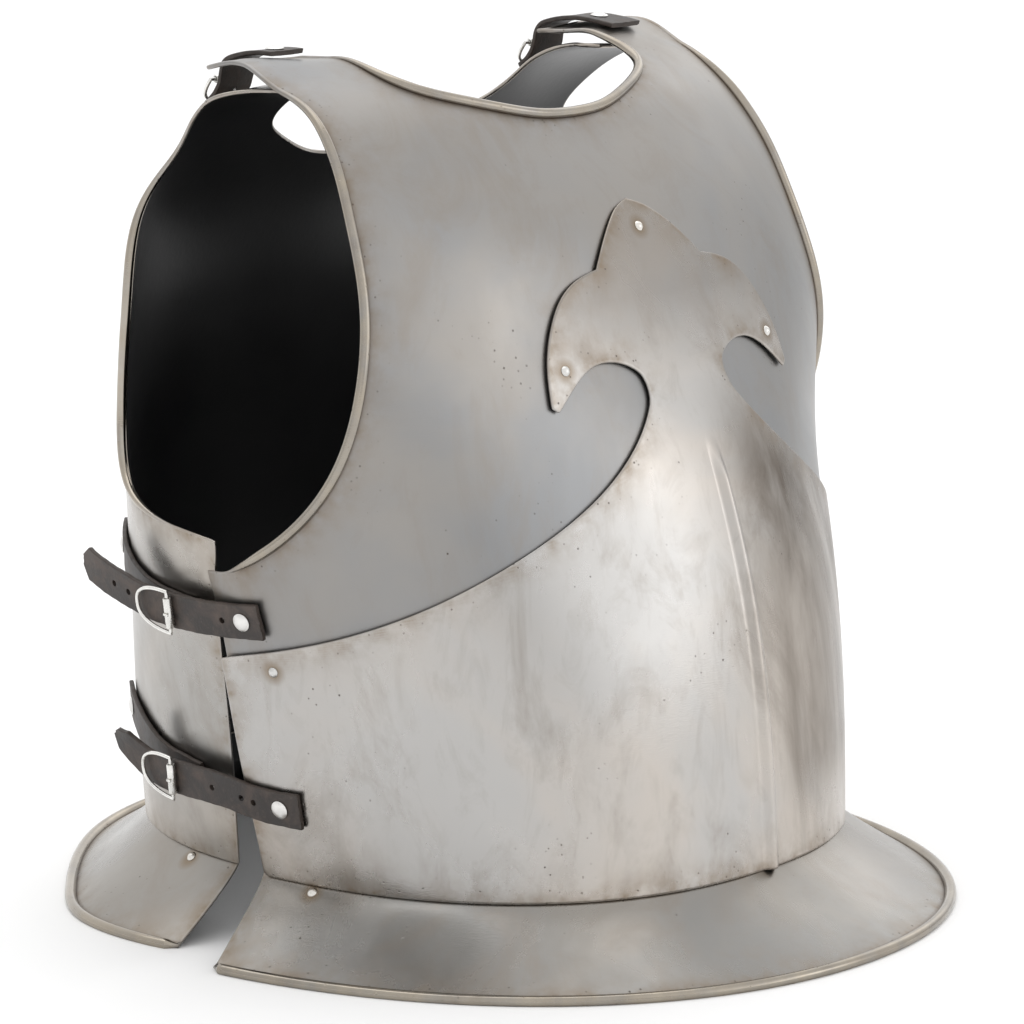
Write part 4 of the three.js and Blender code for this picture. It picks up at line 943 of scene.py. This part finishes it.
# A strap: the route's place + across * x(a) + out * y(a), where (x, y) runs round a rectangle
# with rounded corners. The cut ends are ragged, and a tongue narrows to its tip.
def strapMesh(route, width, tongueTip, seed):
    thick, corner = strapSize["thick"], strapSize["round"]
    steps = int(route.length / strapSize["step"])
    distance = np.linspace(0, route.length, steps)
    half = width / 2 - corner
    low, high = corner, thick - corner
    arc = np.radians(np.linspace(0, 90, 4))
    flat = np.linspace(-1, 1, 15)
    xs = np.concatenate([half * flat, half + corner * np.sin(arc), half + corner * np.cos(arc),
                         half * -flat, -half - corner * np.sin(arc), -half - corner * np.cos(arc)])
    ys = np.concatenate([0 * flat, low - corner * np.cos(arc), high + corner * np.sin(arc),
                         thick + 0 * flat, high + corner * np.cos(arc), low - corner * np.sin(arc)])
    rng = np.random.default_rng(seed)
    phase = rng.uniform(0, 6.28, 6)
    rag = lambda x, y: sum(size * np.sin(wide * x + deep * y + phase[k])
                           for k, (size, wide, deep) in enumerate(ragged["waves"]))
    point, ahead, across, out = route.at(distance)
    left = route.length - distance
    narrow = np.clip(left / tongueTip["length"], 0, 1) if tongueTip else np.ones(steps)
    narrow = tongueTip["width"] + (1 - tongueTip["width"]) * narrow if tongueTip else narrow
    wobble = 1 + sum(size * np.sin(distance * rate + phase[3 + k])
                     for k, (size, rate) in enumerate(ragged["wobbles"]))
    x = xs[None] * (narrow * wobble)[:, None]
    y = ys[None] + strapSize["cup"] * (xs[None] / (width / 2)) ** 2
    nearStart = np.exp(-distance / ragged["reach"])[:, None]
    nearEnd = np.exp(-left / ragged["reach"])[:, None]
    slide = ragged["size"] * rag(x, y) * (nearEnd - nearStart)
    points = point[:, None] + across[:, None] * x[..., None] + out[:, None] * y[..., None]
    points = points + ahead[:, None] * slide[..., None]
    index = np.arange(points[..., 0].size).reshape(x.shape)
    faces = [f[::-1] for f in gridQuads(index, closeColumns=True).tolist()]
    flip = np.linalg.det(np.stack([ahead[0], across[0], out[0]])) > 0
    faces += [index[0].tolist(), index[-1, ::-1].tolist()]
    if flip:
        faces = [f[::-1] for f in faces]
    onSide = np.abs(xs) > half + 0.2 * corner
    cut = np.maximum(np.where(onSide, 1.0, 0.0)[None], np.maximum(nearStart, nearEnd))
    return points.reshape(-1, 3), faces, np.broadcast_to(cut, x.shape).ravel()


# Punches round holes through a strap, along the outward direction at each, and keeps the mesh.
def punchHoles(piece, spots, radius):
    half = buckle["punchHalf"]
    cutters = []
    for at, normal in spots:
        side = unit(np.cross(normal, [0.3, 0.2, 0.9]))
        place = (np.asarray(at), normal, np.cross(normal, side), side)
        points, faces = turnedOn([(radius, -half), (radius, half)], place, sides=20)
        if np.linalg.det(np.stack([place[3], place[2], place[1]])) < 0:
            faces = [face[::-1] for face in faces]
        mesh = bpy.data.meshes.new("punch")
        mesh.from_pydata(inMetres(points).tolist(), [], faces)
        cutter = bpy.data.objects.new("punch", mesh)
        bpy.context.scene.collection.objects.link(cutter)
        cut = piece.modifiers.new("hole", "BOOLEAN")
        cut.object = cutter
        cut.operation = "DIFFERENCE"
        cut.solver = "EXACT"
        cutters.append(cutter)
    evaluated = piece.evaluated_get(bpy.context.evaluated_depsgraph_get())
    cutMesh = bpy.data.meshes.new_from_object(evaluated)
    piece.modifiers.clear()
    piece.data = cutMesh
    for cutter in cutters:
        bpy.data.objects.remove(cutter, do_unlink=True)


# One strap on one side, with its holes at those distances from its start.
def addStrap(name, node, route, width, side, tip, seed, holes):
    points, faces, cut = strapMesh(route, width, tip, seed)
    spots = []
    for distance in holes:
        at, _, _, out = route.at(distance)
        spots.append((at * [side, 1, 1], out * [side, 1, 1]))
    if side < 0:
        points, faces = mirrored(points, faces)
    piece = addPiece(name, points, faces, [leather], smoothAngle=45, marks={"cutEdge": cut})
    if spots:
        punchHoles(piece, spots, buckle["holeRadius"])
    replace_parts(piece, node)


# A roller buckle over the strap: a ring whose bow is a superellipse, length * |cos|^(2 / n) ahead
# and half * |sin|^(2 / n) across, a roller on its straight side, and a prong that comes up
# through a hole and rests on the roller.
def addBuckle(label, prefix, route, rollerAt, width, length, side):
    clear = strapSize["thick"] + buckle["rollerRadius"] + buckle["lift"]
    here, _, _, outHere = route.at(rollerAt)
    there, _, _, outThere = route.at(rollerAt + length)
    origin = here + outHere * clear
    ahead = unit(there + outThere * clear - origin)
    across = unit(np.cross(outHere, ahead))
    out = unit(np.cross(ahead, across))
    half = width / 2 + buckle["overhang"]
    angle = np.linspace(-np.pi / 2, np.pi / 2, 48)
    c, s, n = np.cos(angle), np.sin(angle), 2 / buckle["squareness"]
    bow = origin + np.outer(length * np.abs(c) ** n, ahead)
    bow = bow + np.outer(half * np.sign(s) * np.abs(s) ** n, across)
    bar = origin + np.outer(np.linspace(half, -half, 16)[1:-1], across)
    ring = np.concatenate([bow, bar])
    points, faces = wire(ring, buckle["wire"], out, closed=True)
    pieces = [("frame", points, faces)]
    span = (width - buckle["rollerShort"]) / 2
    bore, radius = buckle["rollerBore"], buckle["rollerRadius"]
    rounded, step = radius - buckle["rollerRound"], buckle["rollerStep"]
    profile = np.array([(bore, -span), (rounded, -span), (radius, -span + step), (radius, span - step),
                        (rounded, span), (bore, span)])
    sides = buckle["rollerSides"]
    turn = np.linspace(0, 2 * np.pi, sides, endpoint=False)
    spin = np.cos(turn)[:, None] * ahead + np.sin(turn)[:, None] * out
    roller = origin + profile[:, 0][:, None, None] * spin[None] + profile[:, 1][:, None, None] * across
    index = np.arange(len(profile) * sides).reshape(len(profile), sides)
    faces = [f[::-1] for f in gridQuads(index, closeRows=True, closeColumns=True).tolist()]
    pieces.append(("roller", roller.reshape(-1, 3), faces))

    def follow(distance, rise):
        at, _, _, outward = route.at(rollerAt + distance)
        return at + outward * rise

    hole, thin = buckle["hole"], prong["radius"]
    under = -(thin + prong["below"])
    above = strapSize["thick"] + thin + prong["above"]
    rest = origin + ahead * prong["overRoller"] + out * (radius + thin * prong["seat"])
    lip = rest - ahead * prong["lip"] - out * prong["lipDrop"]
    knots = np.array([follow(length - prong["short"], under), follow((length + hole) / 2, under),
                      follow(hole + prong["nearHole"], under + 0.1), follow(hole, strapSize["thick"] / 2),
                      follow(hole - prong["nearHole"], above), rest, lip])
    along = distanceAlong(knots)
    track = np.linspace(0, along[-1], prong["steps"])
    path = np.stack([np.interp(track, along, knots[:, k]) for k in range(3)], -1)
    path[1:-1] = (path[:-2] + 2 * path[1:-1] + path[2:]) / 4
    thickness = mix(thin, thin * prong["tipShare"], np.linspace(0, 1, prong["steps"]))
    points, faces = wire(path, thickness, across, sides=12)
    pieces.append(("prong", points, faces))
    for part, points, faces in pieces:
        if side < 0:
            points, faces = mirrored(points, faces)
        piece = addPiece(f"{prefix}_{part}_{label}", points, faces, [nickel], smoothAngle=50)
        if signedVolume(piece.data) < 0:
            piece.data.flip_normals()
        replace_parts(piece, f"{prefix}_{label}_{part}")


# The volume that a closed mesh holds: the sum of a . (b x c) / 6 over its triangles, negative
# when its faces point inwards.
def signedVolume(mesh):
    mesh.calc_loop_triangles()
    places = np.zeros(len(mesh.vertices) * 3)
    mesh.vertices.foreach_get("co", places)
    corners = np.zeros(len(mesh.loop_triangles) * 3, np.int32)
    mesh.loop_triangles.foreach_get("vertices", corners)
    a, b, c = places.reshape(-1, 3)[corners.reshape(-1, 3)].transpose(1, 0, 2)
    return float((a * np.cross(b, c)).sum() / 6)


# Rows of (turn, height of the strap's middle, how far its inner face stands off the body).
sideStraps = dict(
    upper=dict(
        front=[(84, 175.2, 0.6), (88, 174.2, 0.6), (92.5, 173.6, 1.4), (97, 173.5, 3), (101.5, 173.9, 5),
               (105.5, 175.3, 8), (109.5, 178.6, 12), (113.5, 181.8, 16.4), (117.5, 186, 21.8),
               (120, 188.7, 25)],
        base=[(98, 171.5, 0.5), (104, 173, 0.5), (110, 175.5, 0.6), (116, 180, 0.6), (123, 187, 0.6),
              (131, 192, 0.6)],
        rivetAt=11, baseRivetAt=101, rollerAt=57.5, frameLength=23.5, spareHoles=(23.5, 91.0, 103.0)),
    lower=dict(
        front=[(80.3, 77, 2.5), (84.5, 77.1, 2.5), (89.1, 78, 2.5), (94.1, 80.4, 2.6), (99.5, 81.6, 3),
               (105.3, 81.9, 4), (109.5, 82.5, 5.2), (112.8, 84.5, 6.8), (115.2, 89, 9.4), (117, 94.4, 12.5),
               (118, 99.5, 15)],
        base=[(103, 81, 0.5), (108, 83, 0.5), (113, 85, 0.6), (118, 89.5, 0.6), (125, 98, 0.6),
              (133, 104, 0.6)],
        rivetAt=12, baseRivetAt=88, rollerAt=84.5, frameLength=23.5, spareHoles=(29.0, 37.0, 57.0)),
)
sideTip = dict(length=6.0, width=0.35)
# The random seeds of each tongue and its base.
strapSeeds = dict(side=dict(right=(11, 16), left=(23, 28)), shoulder=dict(right=(31, 36), left=(43, 48)))
# Rows of (y, z) of the straps' inner faces, which bend round an axis at "bend". The left strap
# starts further forward than the right one.
shoulderStraps = dict(
    across=126.0, bend=(20, 400), starts=dict(right=(25, 445.9), left=(6, 443.4)),
    front=[(34, 446), (44, 444.8), (50.5, 443.2), (54.8, 441.2), (57, 437.5), (58, 433), (59.5, 428.5),
           (62.5, 424), (67.5, 419.5), (74, 415.5)],
    base=[(64, 415.5), (70, 410), (76, 402.5), (84, 391.5), (93, 380)],
    rivetAt=dict(right=8, left=18), baseRivetAt=38, rollerFromEnd=22.5, frameLength=15,
)


# A route through rows of (turn, z, off), each on the form grown by its own stand-off.
def routeOnForm(form, rows):
    places = [frameOn(lambda t, h, off=off: form(t, h, off), float(turn), float(z))
              for turn, z, off in rows]
    return StrapRoute([place[0] for place in places], [place[1] for place in places])


# A strap's rivet: on its outer face, a gap above the leather.
def addStrapRivet(name, node, route, distance, side):
    at, ahead, _, out = route.at(distance)
    place = (at + out * (strapSize["thick"] + strapRivet["gap"]), out, unit(np.cross(out, ahead)), ahead)
    addRivet(name, node, place, side, strapRivet, strapRivetMetal)


# Two straps on each side: a tongue on the front form and its base on the back form.
def makeSideStraps():
    width = strapSize["sideWidth"]
    for level, rows in sideStraps.items():
        front = routeOnForm(frontForm, rows["front"])
        base = routeOnForm(backForm, rows["base"])
        for label, side in bothSides:
            tongueSeed, baseSeed = strapSeeds["side"][label]
            holes = [rows["rollerAt"] + buckle["hole"], *rows["spareHoles"]]
            addStrap(f"{level}_tongue_{label}", f"{level}_strap_{label}", front, width, side, sideTip,
                     tongueSeed, holes)
            addStrap(f"{level}_chape_{label}", f"{level}_strap_base_{label}", base, width, side, None,
                     baseSeed, [])
            addBuckle(label, f"{level}_buckle", front, rows["rollerAt"], width, rows["frameLength"], side)
            addStrapRivet(f"{level}_tongue_rivet_{label}", f"{level}_strap_rivet_{label}", front,
                          rows["rivetAt"], side)
            addStrapRivet(f"{level}_chape_rivet_{label}", f"{level}_base_rivet_{label}", base,
                          rows["baseRivetAt"], side)


# One strap over each shoulder. Its outward direction is away from the axis that it bends round.
def makeShoulderStraps():
    rows, width = shoulderStraps, strapSize["shoulderWidth"]
    bendY, bendZ = rows["bend"]

    def route(spots):
        outward = [unit(np.array((0, y - bendY, z - bendZ), float)) for y, z in spots]
        return StrapRoute([(rows["across"], y, z) for y, z in spots], outward)

    for label, side in bothSides:
        front = route([rows["starts"][label], *rows["front"]])
        base = route(rows["base"])
        rollerAt = front.length - rows["rollerFromEnd"]
        tongueSeed, baseSeed = strapSeeds["shoulder"][label]
        addStrap(f"shoulder_tongue_{label}", f"shoulder_strap_{label}", front, width, side, sideTip,
                 tongueSeed, [rollerAt + buckle["hole"]])
        addStrap(f"shoulder_chape_{label}", f"shoulder_strap_base_{label}", base, width, side, None,
                 baseSeed, [])
        addBuckle(label, "shoulder_buckle", front, rollerAt, width, rows["frameLength"], side)
        addStrapRivet(f"shoulder_tongue_rivet_{label}", f"shoulder_strap_rivet_{label}", front,
                      rows["rivetAt"][label], side)
        addStrapRivet(f"shoulder_chape_rivet_{label}", f"shoulder_base_rivet_{label}", base,
                      rows["baseRivetAt"], side)


makeSideStraps()
makeShoulderStraps()
print("straps and buckles made")


# The room's light by direction: an even level, plus soft patches that brighten or darken it.
studio = dict(
    floorSize=40.0, floorColour=(0.95, 0.95, 0.95), level=1.12, darkest=0.02,
    tint=(1.0, 1.0, 1.0),
    patches=[
        dict(azimuth=-20, elevation=4, spread=24, add=0.78),
        dict(azimuth=-34, elevation=18, spread=8, add=1.2),
        dict(azimuth=-88, elevation=-2, spread=26, add=-0.38),
        dict(azimuth=-60, elevation=42, spread=26, add=-0.05),
        dict(azimuth=-100, elevation=28, spread=15, add=0.9),
        dict(azimuth=120, elevation=20, spread=40, add=-0.25),
        dict(azimuth=20, elevation=2, spread=14, add=-0.35),
    ],
)


# A wide square at z = 0.
def makeFloor():
    mesh = bpy.data.meshes.new("studio_floor")
    h = studio["floorSize"] / 2
    mesh.from_pydata([(-h, -h, 0), (h, -h, 0), (h, h, 0), (-h, h, 0)], [], [(0, 1, 2, 3)])
    material, _, _ = newMaterial("pale floor", Base_Color=(*studio["floorColour"], 1), Roughness=0.8)
    mesh.materials.append(material)
    floor = bpy.data.objects.new("studio_floor", mesh)
    bpy.context.scene.collection.objects.link(floor)
    floor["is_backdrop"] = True


softBox = dict(place=(0.2, 0.8, 2.6), target=(0.0, 0.1, 0.2), size=(2.6, 2.2), power=16)


# One large soft light overhead, aimed from its place at its target.
def makeLight():
    light = bpy.data.lights.new("overhead box", "AREA")
    light.shape = "RECTANGLE"
    light.size = softBox["size"][0]
    light.size_y = softBox["size"][1]
    light.energy = softBox["power"]
    lamp = bpy.data.objects.new("overhead box", light)
    lamp.location = softBox["place"]
    aim = Vector(softBox["target"]) - Vector(softBox["place"])
    lamp.rotation_euler = aim.to_track_quat("-Z", "Y").to_euler()
    lamp.visible_camera = False
    bpy.context.scene.collection.objects.link(lamp)


# The direction at azimuth degrees to the wearer's right of straight ahead, and that elevation.
def towards(azimuth, elevation):
    azimuth, elevation = math.radians(azimuth), math.radians(elevation)
    return (-math.sin(azimuth) * math.cos(elevation), -math.cos(azimuth) * math.cos(elevation),
            math.sin(elevation))


# Each patch is add * exp(-(angle / spread)^2), by the angle from its own direction, with
# (angle / spread)^2 taken as 2 (1 - cos angle) / spread^2.
def makeWorld():
    world = bpy.data.worlds.new("studio light")
    world.use_nodes = True
    tree = world.node_tree
    direction = addNode(tree, "ShaderNodeTexCoord").outputs["Generated"]
    total = studio["level"]
    for patch in studio["patches"]:
        middle = towards(patch["azimuth"], patch["elevation"])
        facing = addNode(tree, "ShaderNodeVectorMath", {0: direction, 1: middle}, operation="DOT_PRODUCT")
        slope = 2 / math.radians(patch["spread"]) ** 2
        power = product(tree, maths(tree, "SUBTRACT", facing.outputs["Value"], 1.0), slope)
        glow = product(tree, maths(tree, "EXPONENT", power), patch["add"])
        total = maths(tree, "ADD", glow, total)
    background = tree.nodes["Background"]
    background.inputs["Color"].default_value = (*studio["tint"], 1)
    tree.links.new(maths(tree, "MAXIMUM", total, studio["darkest"]), background.inputs["Strength"])
    bpy.context.scene.world = world
    bpy.context.scene.view_settings.view_transform = "Standard"


view = dict(azimuth=51.0, elevation=11.0, distance=2.5158, lens=168.05, sensor=36, farthest=60,
            target=(0.0087, -0.0107, 0.1974))


# The camera stands azimuth degrees to the wearer's right of straight ahead, at that elevation.
def makeCamera():
    forward = -Vector(towards(view["azimuth"], view["elevation"]))
    data = bpy.data.cameras.new("view")
    data.lens = view["lens"]
    data.sensor_width = view["sensor"]
    data.clip_end = view["farthest"]
    camera = bpy.data.objects.new("view", data)
    target = Vector(view["target"]) + Vector((0, body["middleY"] / 1000, 0))
    camera.location = target - forward * view["distance"]
    camera.rotation_euler = forward.to_track_quat("-Z", "Y").to_euler()
    bpy.context.scene.collection.objects.link(camera)
    bpy.context.scene.camera = camera


makeFloor()
makeWorld()
makeLight()
makeCamera()
print("stage, lights and camera made")

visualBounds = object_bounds()
asLists = lambda bounds: [[float(number) for number in corner] for corner in bounds]
{"cad": asLists(cadBounds), "visual": asLists(visualBounds)}
